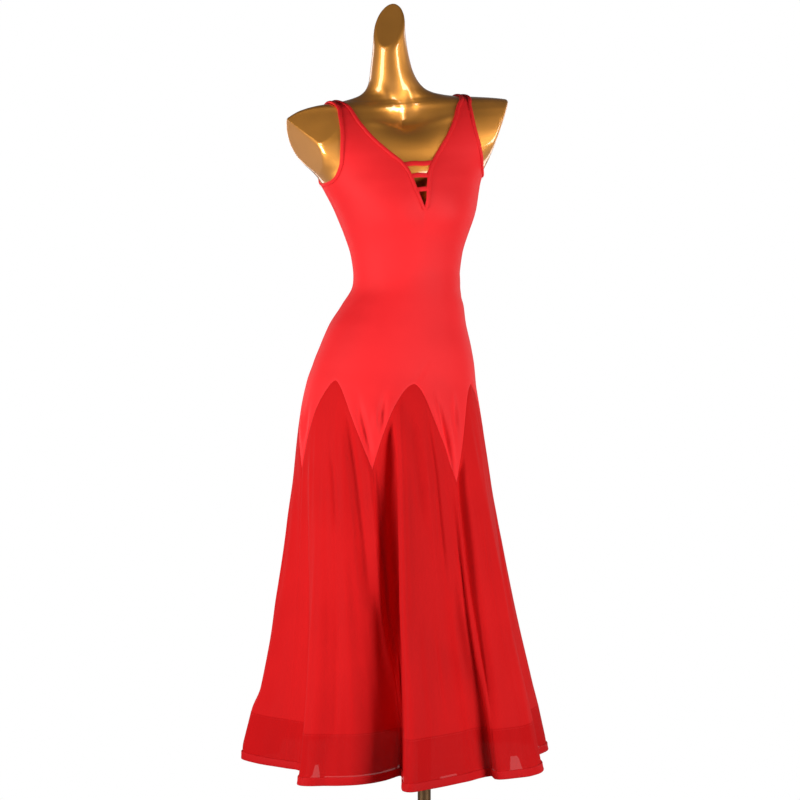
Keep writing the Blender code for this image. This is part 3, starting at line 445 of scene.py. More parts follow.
# ---- Finishes ------------------------------------------------------------------------------
# name, two shades, the threads' pitch in metres, roughness, sheen, opacity
CLOTHS = [
    ("jersey", (0.87, 0.020, 0.024), (0.82, 0.016, 0.020), 0.0007, 0.62, 0.08, 1.0),
    ("chiffon", (0.610, 0.0085, 0.0095), (0.560, 0.0065, 0.0075), 0.0004, 0.70, 0.03, 1.0),
    ("band", (0.55, 0.006, 0.007), (0.51, 0.005, 0.006), 0.0004, 0.70, 0.02, 0.95),
    ("tape", (0.56, 0.008, 0.010), (0.52, 0.006, 0.008), 0.0008, 0.60, 0.03, 1.0),
    ("thread", (0.80, 0.03, 0.035), (0.72, 0.02, 0.025), 0.0003, 0.45, 0.05, 1.0),
]
SHEEN_TINT = (1.0, 0.42, 0.40, 1)
SHEEN_ROUGHNESS = 0.45
CLOTH_SHADE = (7.0, 0.35, 0.65)  # the shade's noise: scale, and the values it is stretched from
CLOTH_ROUGHEST, CLOTH_SMOOTHEST = 0.05, -0.04  # on the cloth's roughness
COURSE_PITCH = 1.3  # the courses' pitch for each pitch of the wales
THREAD_DEPTH = 1 / 8  # for each metre of pitch
THREAD_STRENGTH = 0.35
THREAD_WANDER = 0.6
WAVE_PERIOD = math.pi / 10  # metres, of a wave texture at scale 1
METALLIC = 0.85
METAL_NOISE = (0.3, 0.7)  # the values that noise on the metals is stretched from
# Roughness, two shades, the scale and detail of their change, the roughness's range, and the
# scale, depth and strength of the surface's unevenness.
LACQUER = (
    0.26, ((0.75, 0.300, 0.042), (0.83, 0.340, 0.050)), 9.0, 2.0, (0.38, 0.46), 60.0, 0.0002, 0.25
)
LACQUER_COAT = {"Coat Weight": 1.0, "Coat Roughness": 0.07, "Coat IOR": 1.8}
BRONZE = (
    0.38, ((0.20, 0.115, 0.055), (0.27, 0.16, 0.08)), 40.0, 6.0, (0.30, 0.44), 900.0, 0.0001, 0.2
)


# ---- Small tools ---------------------------------------------------------------------------
def hermite(share, start, leave, end, arrive):
    """A cubic from start to end as share runs from 0 to 1, with its slopes at both ends."""
    return (
        start * (1 + 2 * share) * (1 - share) ** 2
        + leave * share * (1 - share) ** 2
        + end * share * share * (3 - 2 * share)
        + arrive * share * share * (share - 1)
    )


def smooth_value(table, column, at):
    """One column of a table as a smooth curve of the first, which never overshoots."""
    x, y = table[:, 0], table[:, column]
    step = np.diff(x)
    slope = np.diff(y) / step
    tangent = np.empty_like(y)
    tangent[0], tangent[-1] = slope[0], slope[-1]
    before, after = slope[:-1], slope[1:]
    same_way = before * after > 0
    weight_a = 2 * step[1:] + step[:-1]
    weight_b = step[1:] + 2 * step[:-1]
    safe_before = np.where(same_way, before, 1)
    safe_after = np.where(same_way, after, 1)
    harmonic = (weight_a + weight_b) / (weight_a / safe_before + weight_b / safe_after)
    tangent[1:-1] = np.where(same_way, harmonic, 0)
    at = np.clip(at, x[0], x[-1])
    i = np.clip(np.searchsorted(x, at, side="right") - 1, 0, len(x) - 2)
    share = (at - x[i]) / step[i]
    return hermite(share, y[i], tangent[i] * step[i], y[i + 1], tangent[i + 1] * step[i])


def smooth_step(share):
    share = np.clip(share, 0, 1)
    return share * share * (3 - 2 * share)


def unit(vectors):
    return vectors / np.linalg.norm(vectors, axis=-1, keepdims=True)


def stacked(x, y, z):
    return np.stack(np.broadcast_arrays(x, y, z), axis=-1).astype(float)


def around(degrees):
    """Degrees as the same turn between -180 and 180."""
    return (np.asarray(degrees, float) + 180) % 360 - 180


def outward(degrees):
    """The level direction this many degrees round from the front, as x and y."""
    turn = np.radians(degrees)
    return np.stack([np.sin(turn), -np.cos(turn)], axis=-1)


def bell(off, half_width):
    """1 at the middle of a crease or a swelling, and next to 0 two half widths away."""
    return np.exp(-((off / half_width) ** 2))


def between(value, start, start_fade, end, end_fade):
    """1 between start and end and 0 outside them, with a soft step inside each."""
    return smooth_step((value - start) / start_fade) * smooth_step((end - value) / end_fade)


def looped(line):
    return np.concatenate([line, line[:1]])


def places_along(line, distances):
    """The points that lie these distances along a line."""
    steps = np.linalg.norm(np.diff(line, axis=0), axis=1)
    along = np.concatenate([[0], steps.cumsum()])
    places = [np.interp(distances, along, line[:, axis]) for axis in range(3)]
    return np.stack(places, axis=1)


def line_length(line):
    return np.linalg.norm(np.diff(line, axis=0), axis=1).sum()


def set_pose(points):
    """Moves points of the even, upright figure to the stance."""
    x, y, z = points[..., 0], points[..., 1], points[..., 2]
    shift = smooth_value(STANCE, 1, z)
    tilt = smooth_value(STANCE, 2, z)
    return stacked(x + shift, y, z + tilt * x)


# ---- The figure's surface ------------------------------------------------------------------
def section(height):
    """Half width, front depth, back depth and corner power of the level section there."""
    return [smooth_value(FIGURE, column, height) for column in (1, 2, 3, 4)]


def figure_level(height, angle):
    """The point of the figure's skin at a height, angle degrees round from the front."""
    half_width, front, back, power = section(height)
    turned_share = np.clip((TURN_END_HEIGHT - height) / (TURN_END_HEIGHT - HIP_HEIGHT), 0, 1)
    cloth_turn = smooth_value(CLOTH_TURN, 1, around(angle))
    turn = np.radians(angle + cloth_turn * turned_share)
    side, ahead = np.sin(turn), np.cos(turn)
    depth = np.where(ahead > 0, front, back)
    x = half_width * np.sign(side) * np.abs(side) ** (2 / power)
    y = -depth * np.sign(ahead) * np.abs(ahead) ** (2 / power)
    return stacked(x, y, height)


def figure_field(points):
    """0 on the figure's skin, above it outside."""
    x, y, z = points[..., 0], points[..., 1], points[..., 2]
    half_width, front, back, power = section(z)
    depth = np.where(y < 0, front, back)
    return np.abs(x / half_width) ** power + np.abs(y / depth) ** power - 1


def figure_slope(points):
    slope = []
    for axis in np.eye(3):
        ahead = figure_field(points + axis * SLOPE_STEP)
        behind = figure_field(points - axis * SLOPE_STEP)
        slope.append((ahead - behind) / (2 * SLOPE_STEP))
    return np.stack(slope, axis=-1)


def figure_normal(points):
    return unit(figure_slope(points))


def onto_figure(points):
    """Moves points that lie near the figure's skin onto it."""
    for _ in range(PROJECTION_STEPS):
        slope = figure_slope(points)
        miss = figure_field(points)[..., None]
        points = points - slope * miss / (slope**2).sum(-1, keepdims=True)
    return points


def ridge_height(x):
    """Height of the shoulder's top line, x metres from the centre line."""
    heights = np.linspace(*RIDGE_SEARCH, RIDGE_STEPS)
    half_width = section(heights)[0]
    return np.interp(np.abs(x), half_width[::-1], heights[::-1])


def skin_at(x, height, front):
    """The figure's skin at a height, x metres from the centre line, in front or behind."""
    half_width, front_depth, back_depth, power = section(height)
    left_over = np.clip(1 - np.abs(x / half_width) ** power, 0, 1) ** (1 / power)
    return stacked(x, -front_depth * left_over if front else back_depth * left_over, height)


def over_shoulder(x, rise, front):
    """The figure's skin x metres from the centre line, rise of the way up from the underarm."""
    height = UNDERARM_HEIGHT + (ridge_height(x) - UNDERARM_HEIGHT) * np.sin(rise * np.pi / 2)
    return skin_at(x, height, front)


def fullness(points):
    """How far the bust stands out from the plain figure, in front only."""
    x, y, z = points[..., 0], points[..., 1], points[..., 2]
    swell = bell(np.abs(x) - BUST_X, BUST_HALF_WIDTH) * bell(z - BUST_HEIGHT, BUST_HALF_HEIGHT)
    return BUST_FULLNESS * swell * smooth_step(-y / BUST_FADE)


# ---- The dress's surface -------------------------------------------------------------------
def hem_curve():
    """The hem's turns as rows of cloth angle, x and y, with a few rows more at both ends."""
    rows = np.concatenate([FLUTES[:, :1], FLUTES[:, 2:] * outward(FLUTES[:, 1])], axis=1)
    full_turn = np.array([360, 0, 0])
    return np.concatenate([rows[-3:] - full_turn, rows, rows[:3] + full_turn])


def hem_point(angle):
    """Where the cloth of this angle reaches the hem, as x and y: a curve through the turns."""
    rows = hem_curve()
    angle = around(angle)
    angle = np.where(angle < rows[2, 0], angle + 360, angle)
    i = np.clip(np.searchsorted(rows[:, 0], angle, side="right") - 1, 1, len(rows) - 3)
    step = (rows[i + 1, 0] - rows[i, 0])[..., None]
    share = (angle - rows[i, 0])[..., None] / step
    here, ahead = rows[i, 1:], rows[i + 1, 1:]
    leave = (ahead - rows[i - 1, 1:]) / (rows[i + 1, :1] - rows[i - 1, :1]) * step
    arrive = (rows[i + 2, 1:] - here) / (rows[i + 2, :1] - rows[i, :1]) * step
    return hermite(share, here, leave, ahead, arrive)


def dress_level(height, angle):
    """The dress's inner face at a height, for cloth that hangs from this angle of the hip."""
    drop = HIP_HEIGHT - height
    eased = np.clip(drop + HIP_EASE, 0, None) ** 2 / (4 * HIP_EASE)
    drop = np.where(drop < HIP_EASE, eased, drop)
    skin = figure_level(height + drop, angle)
    skin = skin + figure_normal(skin) * CLOTH_GAP
    fall = drop / (HIP_HEIGHT - HEM_HEIGHT)
    spring = HIP_SPRING * fall * np.clip(1 - fall, 0, None) ** HIP_SPRING_FADE
    flare = (fall**FLARE_POWER + spring)[..., None]
    plan = skin[..., :2] * (1 - flare) + outward(angle) * SKIRT_RADIUS * flare
    turned = angle - smooth_value(FLUTE_DRIFT, 1, height) * bell(
        around(angle - DRIFT_MIDDLE), DRIFT_REACH
    )
    flute = (fall**FLUTE_POWER)[..., None]
    plan = plan + (hem_point(turned) - outward(turned) * SKIRT_RADIUS) * flute
    return stacked(plan[..., 0], plan[..., 1], np.minimum(height, skin[..., 2]))


def dress_normal(height, angle):
    """Outward, square to the dress's surface."""
    side = dress_level(height, angle + NUMERIC_STEP) - dress_level(height, angle - NUMERIC_STEP)
    up = dress_level(height + HEIGHT_STEP, angle) - dress_level(height - HEIGHT_STEP, angle)
    return unit(np.cross(side, up))


def arch_height(angle):
    """The seam between the bodice and the godets: a pointed arch over each godet."""
    from_peak = (np.asarray(angle) + GODET_ANGLE / 2) % GODET_ANGLE - GODET_ANGLE / 2
    share = np.abs(from_peak) / (GODET_ANGLE / 2)
    tip = SEAM_TIPS[np.floor(np.asarray(angle) / GODET_ANGLE).astype(int) % GODET_COUNT]
    return HIP_HEIGHT - (HIP_HEIGHT - tip) * share**GODET_ARCH_POWER


# ---- Relief: creases, ripples, folds and seams ---------------------------------------------
def skirt_creases(height, angle):
    total = np.zeros_like(height)
    for top, top_at, middle, middle_at, foot, foot_at, half_width, depth in SKIRT_CREASES:
        path = np.array([(foot, foot_at), (middle, middle_at), (top, top_at)], float)
        along = (height - foot) / (top - foot)
        fade = smooth_step(along / CREASE_FADE) * smooth_step((1 - along) / CREASE_FADE)
        total += depth * fade * bell(around(angle - smooth_value(path, 1, height)), half_width)
    return total


def ripples(height, angle):
    turn = np.radians(angle)
    total = np.zeros_like(height)
    for waves_round, waves_up, phase, depth in RIPPLES:
        climb = waves_up * 2 * np.pi * height
        swell = RIPPLE_MEAN + RIPPLE_SWING * np.sin(
            turn * RIPPLE_SWELLS + phase * RIPPLE_SWELL_PHASE + climb / 2
        )
        total += depth * swell * np.sin(turn * waves_round + climb + phase)
    return total * smooth_step((arch_height(angle) - height) / RIPPLE_FADE)


def bodice_folds(height, angle):
    """Soft folds on straight lines over the body, deepest at the middle of their length."""
    metres = np.radians(1) * FOLD_RADIUS
    total = np.zeros_like(height)
    for start_height, start_at, end_height, end_at, half_width, depth in BODICE_FOLDS:
        run_x = (end_at - start_at) * metres
        run_z = end_height - start_height
        x = around(angle - start_at) * metres
        z = height - start_height
        along = (x * run_x + z * run_z) / (run_x**2 + run_z**2)
        off = (x * run_z - z * run_x) / math.hypot(run_x, run_z)
        total += depth * np.sin(np.pi * np.clip(along, 0, 1)) ** 2 * bell(off, half_width)
    return total


def seam_groove(height, angle):
    """The dip and the slight pucker along the seams round each godet."""
    from_seam = np.abs((angle + GODET_ANGLE) % GODET_ANGLE - GODET_ANGLE / 2)
    from_arch = height - arch_height(angle)
    below_arch = smooth_step(1 - from_arch / SEAM_GROOVE_START)
    upright = bell(from_seam, SEAM_GROOVE_ANGLE) * below_arch
    groove = np.maximum(upright, bell(from_arch, SEAM_GROOVE_HEIGHT))
    pucker = np.sin(height * PUCKER_WAVES) * np.sin(height * PUCKER_WAVES * PUCKER_BEAT + 1)
    near = bell(from_seam, PUCKER_REACH) * below_arch
    return -SEAM_GROOVE * groove + PUCKER_DEPTH * near * pucker


def relief(height, angle):
    """How far the cloth stands out from the plain surface."""
    on_skirt = smooth_step((arch_height(angle) - height) / RELIEF_START)
    return (
        skirt_creases(height, angle) * on_skirt
        + ripples(height, angle)
        + bodice_folds(height, angle)
        + seam_groove(height, angle)
    )


def dress_surface(height, angle, thickness):
    """The dress's outer face with its relief, which stays off the form where the two touch."""
    height, angle = np.broadcast_arrays(np.asarray(height, float), np.asarray(angle, float))
    clear = smooth_step((arch_height(angle) - height) / FREE_START + FREE_SHARE)
    clear = clear + np.clip(HIP_HEIGHT - height, 0, None) * TIP_CLEARANCE
    lift = thickness + np.maximum(relief(height, angle), -FORM_CLEARANCE - clear)
    return dress_level(height, angle) + dress_normal(height, angle) * lift[..., None]


# ---- Making objects ------------------------------------------------------------------------
def make_object(name, points, faces, material, uv=None):
    mesh = bpy.data.meshes.new(name)
    mesh.from_pydata(np.asarray(points, float).tolist(), [], [tuple(map(int, f)) for f in faces])
    mesh.materials.append(material)
    mesh.shade_smooth()
    if uv is not None:
        layer = mesh.uv_layers.new(name="metres")
        corners = np.empty(len(mesh.loops), np.int32)
        mesh.loops.foreach_get("vertex_index", corners)
        layer.data.foreach_set("uv", np.asarray(uv, np.float32)[corners].ravel())
    obj = bpy.data.objects.new(name, mesh)
    bpy.context.scene.collection.objects.link(obj)
    return obj


def grid_faces(rows, columns, wrap=False):
    """Faces of a grid whose rows climb and whose columns go round to the left, facing out."""
    faces = []
    for row in range(rows - 1):
        for column in range(columns if wrap else columns - 1):
            a = row * columns + column
            b = row * columns + (column + 1) % columns
            faces.append((a, b, b + columns, a + columns))
    return faces


def cloth_uv(points):
    """Metres along the rows and up the columns of a grid, so that the weave keeps its size."""
    along = np.linalg.norm(np.diff(points, axis=1), axis=-1).cumsum(axis=1)
    along = np.concatenate([np.zeros_like(along[:, :1]), along], axis=1)
    along -= along[:, along.shape[1] // 2, None]
    climb = np.linalg.norm(np.diff(points, axis=0), axis=-1).cumsum(axis=0)
    climb = np.concatenate([np.zeros_like(climb[:1]), climb], axis=0)
    return np.stack([along, climb], axis=-1)


def make_grid(name, grid, material, wrap=False):
    """A sheet from the even figure's grid of points, put in the stance."""
    faces = grid_faces(*grid.shape[:2], wrap=wrap)
    uv = cloth_uv(grid).reshape(-1, 2)
    return make_object(name, set_pose(grid.reshape(-1, 3)), faces, material, uv)


def finished(obj, slot, *nodes):
    """The piece rides on the part and stands for CAD nodes, which it hides; slot is not used."""
    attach(obj, "root")
    if nodes:
        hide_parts(*nodes)
    return obj


def join_meshes(parts):
    """Several lists of points and faces as one."""
    points, faces, start = [], [], 0
    for part_points, part_faces in parts:
        points.append(part_points)
        faces += [tuple(corner + start for corner in face) for face in part_faces]
        start += len(part_points)
    return np.concatenate(points), faces


def join_grids(grids):
    return join_meshes([(grid.reshape(-1, 3), grid_faces(*grid.shape[:2])) for grid in grids])


# ---- Materials -----------------------------------------------------------------------------
def new_material(name, roughness):
    material = bpy.data.materials.new(name)
    material.use_nodes = True
    shader = material.node_tree.nodes["Principled BSDF"]
    shader.inputs["Roughness"].default_value = roughness
    return material, material.node_tree, shader


def add_node(tree, kind, **inputs):
    node = tree.nodes.new(kind)
    for name, value in inputs.items():
        node.inputs[name.replace("_", " ")].default_value = value
    return node


def mixed_colour(tree, factor, first, second):
    """A colour between two, by a value socket."""
    mix = tree.nodes.new("ShaderNodeMix")
    mix.data_type = "RGBA"
    mix.inputs["A"].default_value = (*first, 1)
    mix.inputs["B"].default_value = (*second, 1)
    tree.links.new(factor, mix.inputs["Factor"])
    return mix.outputs["Result"]


def ranged(tree, value, low, high, start=0.0, end=1.0, smooth=False):
    """A value that runs from low to high as another runs from start to end."""
    node = add_node(
        tree, "ShaderNodeMapRange", From_Min=start, From_Max=end, To_Min=low, To_Max=high
    )
    node.interpolation_type = "SMOOTHSTEP" if smooth else "LINEAR"
    tree.links.new(value, node.inputs["Value"])
    return node.outputs["Result"]


def object_places(tree):
    return tree.nodes.new("ShaderNodeTexCoord").outputs["Object"]


def noise_value(tree, coordinates, scale, low, high, detail=2.0):
    """Noise over the object, stretched to run from 0 to 1 between two of its values."""
    noise = add_node(tree, "ShaderNodeTexNoise", Scale=scale, Detail=detail)
    tree.links.new(coordinates, noise.inputs["Vector"])
    return ranged(tree, noise.outputs["Fac"], 0.0, 1.0, low, high)


def thread_waves(tree, coordinates, pitch, direction):
    """Threads or knit wales that run along the cloth, pitch metres apart."""
    wave = add_node(
        tree, "ShaderNodeTexWave", Scale=WAVE_PERIOD / pitch, Distortion=THREAD_WANDER
    )
    wave.bands_direction = direction
    tree.links.new(coordinates, wave.inputs["Vector"])
    return wave.outputs["Fac"]


def bumped(tree, shader, height, distance, strength):
    bump = add_node(tree, "ShaderNodeBump", Strength=strength, Distance=distance)
    tree.links.new(height, bump.inputs["Height"])
    tree.links.new(bump.outputs["Normal"], shader.inputs["Normal"])


def cloth_material(name, light, dark, pitch, roughness, sheen, opacity):
    """Dyed cloth: fine threads both ways, slow changes of shade, and a soft nap."""
    material, tree, shader = new_material(name, roughness)
    shade = noise_value(tree, object_places(tree), *CLOTH_SHADE)
    tree.links.new(mixed_colour(tree, shade, dark, light), shader.inputs["Base Color"])
    metres = tree.nodes.new("ShaderNodeTexCoord").outputs["UV"]
    woven = tree.nodes.new("ShaderNodeMath")
    woven.operation = "ADD"
    tree.links.new(thread_waves(tree, metres, pitch, "X"), woven.inputs[0])
    tree.links.new(thread_waves(tree, metres, pitch * COURSE_PITCH, "Y"), woven.inputs[1])
    bumped(tree, shader, woven.outputs["Value"], pitch * THREAD_DEPTH, THREAD_STRENGTH)
    rough = ranged(tree, shade, roughness + CLOTH_SMOOTHEST, roughness + CLOTH_ROUGHEST)
    tree.links.new(rough, shader.inputs["Roughness"])
    shader.inputs["Specular IOR Level"].default_value = 2 * sheen
    shader.inputs["Sheen Weight"].default_value = sheen
    shader.inputs["Sheen Roughness"].default_value = SHEEN_ROUGHNESS
    shader.inputs["Sheen Tint"].default_value = SHEEN_TINT
    shader.inputs["Alpha"].default_value = opacity
    return material


def metal_paint(name, roughness, shades, scale, detail, rough, flow_scale, depth, strength):
    """Metallic paint of two shades and changing roughness, over a slightly uneven surface."""
    material, tree, shader = new_material(name, roughness)
    places = object_places(tree)
    shade = noise_value(tree, places, scale, *METAL_NOISE, detail)
    tree.links.new(mixed_colour(tree, shade, *shades), shader.inputs["Base Color"])
    tree.links.new(ranged(tree, shade, *rough), shader.inputs["Roughness"])
    flow = noise_value(tree, places, flow_scale, *METAL_NOISE)
    bumped(tree, shader, flow, depth, strength)
    shader.inputs["Metallic"].default_value = METALLIC
    return material, shader


def lacquer_material():
    """Gold lacquer: a metal flake colour under a clear, slightly uneven coat."""
    material, shader = metal_paint("gold_lacquer", *LACQUER)
    for name, value in LACQUER_COAT.items():
        shader.inputs[name].default_value = value
    return material


def bronze_material():
    """Painted steel with a faint grain, as on a stand's tube and base."""
    return metal_paint("bronze_paint", *BRONZE)[0]


# ---- The bodice ----------------------------------------------------------------------------
def edge_table(rows, top_x):
    """An upper edge's rows, with its end on the shoulder's top line added."""
    return np.concatenate([rows, [(float(ridge_height(top_x)), top_x)]])


def neck_edge(front):
    if front:
        return edge_table(NECK_FRONT, STRAP_INNER)
    heights = np.linspace(BACK_SCOOP_HEIGHT, UNDERARM_HEIGHT, SCOOP_STEPS)
    depth = 1 - (heights - BACK_SCOOP_HEIGHT) / (UNDERARM_HEIGHT - BACK_SCOOP_HEIGHT)
    scoop = np.stack([heights, SCOOP_HALF_WIDTH * np.sqrt(1 - depth**2)], axis=1)
    return edge_table(np.concatenate([scoop, NECK_BACK_TOP]), STRAP_INNER)


def arm_edge(front):
    start = np.array([(UNDERARM_HEIGHT, section(UNDERARM_HEIGHT)[0])])
    return edge_table(np.concatenate([start, ARM_FRONT if front else ARM_BACK]), STRAP_OUTER)


def edge_x(edge, rise, side):
    """The edge's distance from the centre line where it has risen this much over the shoulder."""
    heights = np.linspace(UNDERARM_HEIGHT, edge[-1, 0], EDGE_STEPS)
    x = smooth_value(edge, 1, heights) + side * smooth_value(STRAP_SHIFT, 1, heights)
    share = (heights - UNDERARM_HEIGHT) / (ridge_height(x) - UNDERARM_HEIGHT)
    rises = np.arcsin(np.clip(share, 0, 1)) * 2 / np.pi
    return np.interp(rise, rises, x)


def gap_half_width(height, front):
    """Half the neckline's width at a height up to the underarm."""
    edge = neck_edge(front)
    return np.where(height <= edge[0, 0], 0.0, smooth_value(edge, 1, height))


def level_row(height, angles, front):
    """A row of the bodice above its arches, with a gap at the middle where the neckline is."""
    base = figure_level(height, angles)
    half_width = section(height)[0]
    gap = gap_half_width(height, front)
    x = gap + (half_width - gap) * np.abs(base[:, 0]) / half_width
    return skin_at(x, height, front)


def rise_row(rise, spread, front, side):
    """A row of the bodice over the chest or the shoulder blade, from neckline to armhole."""
    inner = edge_x(neck_edge(front), rise, side)
    outer = edge_x(arm_edge(front), rise, side)
    return over_shoulder(inner * (1 - spread) + outer * spread, rise, front)


def half_bodice(front, side):
    """One side's rows above the hips, from the middle out, on the figure.

    side is 1 on the wearer's left and -1 on the right, whose rows come mirrored to the left.
    """
    angles = np.linspace(0, 90, BODICE_COLUMNS)
    turns = angles if front else 180 - angles
    lowest_gap = KEYHOLE_HEIGHT if front else BACK_SCOOP_HEIGHT
    below = np.linspace(LEVEL_START, lowest_gap, LEVEL_ROWS - GAP_ROWS)
    climb = np.linspace(0, 1, GAP_ROWS)[1:] ** NECKLINE_ROW_POWER
    above = lowest_gap + (UNDERARM_HEIGHT - lowest_gap) * climb
    rows = [level_row(height, turns, front) for height in (*below, *above)]
    level_spread = rows[0][:, 0] / rows[0][-1, 0]
    for rise in np.linspace(0, 1, RISE_ROWS + 1)[1:]:
        spread = level_spread * (1 - rise) + np.linspace(0, 1, BODICE_COLUMNS) * rise
        rows.append(rise_row(rise, spread, front, side))
    return np.array(rows)


def body_angle(points):
    """Degrees round the body from the front, by where a point lies in plan."""
    return np.degrees(np.arctan2(points[..., 0], -points[..., 1]))


def on_bodice(skin, lift):
    """Points on the skin lifted to the cloth's outer face, with the bodice's folds."""
    folds = bodice_folds(skin[..., 2], body_angle(skin))
    return skin + figure_normal(skin) * (lift + folds + fullness(skin))[..., None]


def make_bodice(name, front, material):
    """One panel: pointed arches at its lower edge, and two halves that part at the neckline."""
    middle = 0.0 if front else 180.0
    angles = middle + np.linspace(-90, 90, 2 * BODICE_COLUMNS - 1)
    shares = np.linspace(0, 1, ARCH_ROWS)[:, None] ** ARCH_ROW_POWER
    arch = arch_height(angles) * (1 - shares) + ARCH_SPREAD_HEIGHT * shares
    hips = np.linspace(ARCH_SPREAD_HEIGHT, LEVEL_START, HIP_ROWS)[1:, None] + 0 * angles
    lower = dress_surface(np.concatenate([arch, hips]), angles, JERSEY)
    left, right = [
        on_bodice(half_bodice(front, side)[1:], CLOTH_GAP + JERSEY) * np.array([side, 1, 1])
        for side in (1, -1)
    ]
    first, second = (right, left) if front else (left, right)
    halves = [
        np.concatenate([lower[:, :BODICE_COLUMNS], first[:, ::-1]]),
        np.concatenate([lower[:, BODICE_COLUMNS - 1 :], second]),
    ]
    points, faces = join_grids(halves)
    turn = np.radians(around(body_angle(points) - middle))
    uv = np.stack([turn * FOLD_RADIUS, points[:, 2]], axis=-1)
    obj = make_object(name, set_pose(points), faces, material, uv)
    weld(obj)
    return obj


def weld(obj):
    """Joins the points that two grids share, such as a panel's centre line."""
    mesh = bmesh.new()
    mesh.from_mesh(obj.data)
    bmesh.ops.remove_doubles(mesh, verts=mesh.verts[:], dist=WELD_DISTANCE)
    mesh.to_mesh(obj.data)
    mesh.free()


# ---- Trim on the bodice --------------------------------------------------------------------
def edge_frame(line, closed):
    """A line's normals off the figure and its directions into the cloth, which is on its left."""
    if closed:
        ahead = unit(np.roll(line, -1, axis=0) - np.roll(line, 1, axis=0))
    else:
        step = unit(np.diff(line, axis=0))
        ahead = unit(np.concatenate([step[:1], step[:-1] + step[1:], step[-1:]]))
    normal = figure_normal(line)
    return normal, unit(np.cross(normal, ahead))


def evened(line, count, closed):
    """The line with its points spread evenly along it."""
    line = looped(line) if closed else line
    distances = np.linspace(0, line_length(line), count, endpoint=not closed)
    return places_along(line, distances)


def beside_edge(line, closed, across, lift):
    """An edge moved across its cloth and lifted off the figure, over the bust too."""
    normal, inward = edge_frame(line, closed)
    skin = line + inward * across
    if across > 0:
        skin = onto_figure(skin)
    return skin + normal * (lift + fullness(skin))[:, None]


def neck_line(front):
    """From one shoulder seam down to the neckline's lowest point and up to the other."""
    lowest = KEYHOLE_HEIGHT if front else BACK_SCOOP_HEIGHT
    left, right = [
        half[half[:, 0, 2] >= lowest - ROUNDING, 0]
        for half in (half_bodice(front, 1), half_bodice(front, -1))
    ]
    right = right * np.array([-1, 1, 1])
    if front:
        return np.concatenate([left[:0:-1], right])
    return np.concatenate([right[::-1], left[1:]])


def armhole_line(side):
    """side is 1 on the wearer's left and -1 on the right."""
    edges = []
    for front in (True, False):
        half = half_bodice(front, side)
        edges.append(half[half[:, 0, 2] >= UNDERARM_HEIGHT - ROUNDING, -1])
    loop = np.concatenate([edges[0][:-1], edges[1][:0:-1]]) * np.array([side, 1, 1])
    return loop[::-1] if side < 0 else loop


def make_binding(node, line, closed, material):
    rows = np.array([beside_edge(line, closed, *place) for place in BINDING_SECTION])
    obj = make_grid(f"{node}_cloth", rows, material, wrap=closed)
    return finished(obj, "jersey", node)


def make_cross_strap(number, height, material):
    """A flat, soft-edged strap across the keyhole."""
    reach = float(smooth_value(neck_edge(True), 1, height)) + CROSS_STRAP_TUCK
    x = np.linspace(-reach, reach, CROSS_STRAP_COLUMNS)
    wave = CROSS_STRAP_WAVE * np.sin(x * CROSS_STRAP_WAVES + number)
    rows = []
    for turn in -2 * np.pi * np.arange(1, CROSS_STRAP_SIDES + 1) / CROSS_STRAP_SIDES:
        rise = np.sign(math.sin(turn)) * abs(math.sin(turn)) ** CROSS_STRAP_CORNER
        lift = CLOTH_GAP + CROSS_STRAP_THICKNESS / 2 * (1 + math.cos(turn))
        skin = skin_at(x, height + CROSS_STRAP_WIDTH / 2 * rise + wave, True)
        rows.append(skin + figure_normal(skin) * (lift + fullness(skin))[..., None])
    rows = np.array(rows)
    faces = grid_faces(*rows.shape[:2])
    last = (len(rows) - 1) * len(x)
    faces += [(last + i, last + i + 1, i + 1, i) for i in range(len(x) - 1)]
    points = set_pose(rows.reshape(-1, 3))
    uv = cloth_uv(rows).reshape(-1, 2)
    obj = make_object(f"cross_strap_cloth_{number}", points, faces, material, uv)
    return finished(obj, "jersey", f"cross_strap_{number}")


# ---- The skirt -----------------------------------------------------------------------------
def godet_columns(number):
    """A godet's column angles, closer together beside its seams."""
    middle = (number - 1) * GODET_ANGLE
    reach = GODET_ANGLE / 2
    plain = reach - SEAM_MARGIN
    inner = np.arange(-plain, plain + SKIRT_COLUMN / 2, SKIRT_COLUMN)
    edge = np.array(SEAM_COLUMNS)
    return middle + np.concatenate([-reach + edge, inner, reach - edge[::-1]])


def make_godet(number, material):
    angles = godet_columns(number)
    shares = np.linspace(0, 1, GODET_ROWS)[:, None]
    heights = BAND_HEIGHT * (1 - shares) + arch_height(angles) * shares
    grid = dress_surface(heights, angles, CHIFFON)
    obj = make_grid(f"godet_cloth_{number}", grid, material)
    return finished(obj, "chiffon", f"godet_{number}")


def inner_layer_foot(angle):
    foot = np.full(len(angle), HEM_HEIGHT + TAPE_WIDTH - TAPE_OVERLAP)
    for middle, half_width, rise in THIN_SPOTS:
        inside = (half_width - np.abs(around(angle - middle))) / THIN_SPOT_EDGE
        foot += rise * smooth_step(inside)
    return foot


def make_hem_band(number, material):
    """A double band: the outer layer, and an inner one that reaches the tape but for thin spots."""
    angles = godet_columns(number)
    outer_heights = np.linspace(HEM_HEIGHT, BAND_HEIGHT, BAND_ROWS)[:, None]
    outer = dress_surface(outer_heights, angles, BAND_CLOTH)
    inner_heights = np.linspace(inner_layer_foot(angles), BAND_HEIGHT, BAND_ROWS)
    inner = dress_surface(inner_heights, angles, BAND_CLOTH - INNER_LAYER_GAP)
    points, faces = join_grids([outer, inner])
    uv = np.concatenate([cloth_uv(layer).reshape(-1, 2) for layer in (outer, inner)])
    obj = make_object(f"hem_band_cloth_{number}", set_pose(points), faces, material, uv)
    return finished(obj, "chiffon", f"hem_band_{number}")


def skirt_line(height, lift):
    """A level line right round the skirt, lifted off its inner face."""
    return dress_surface(height, np.arange(-180, 180, SKIRT_COLUMN), lift)


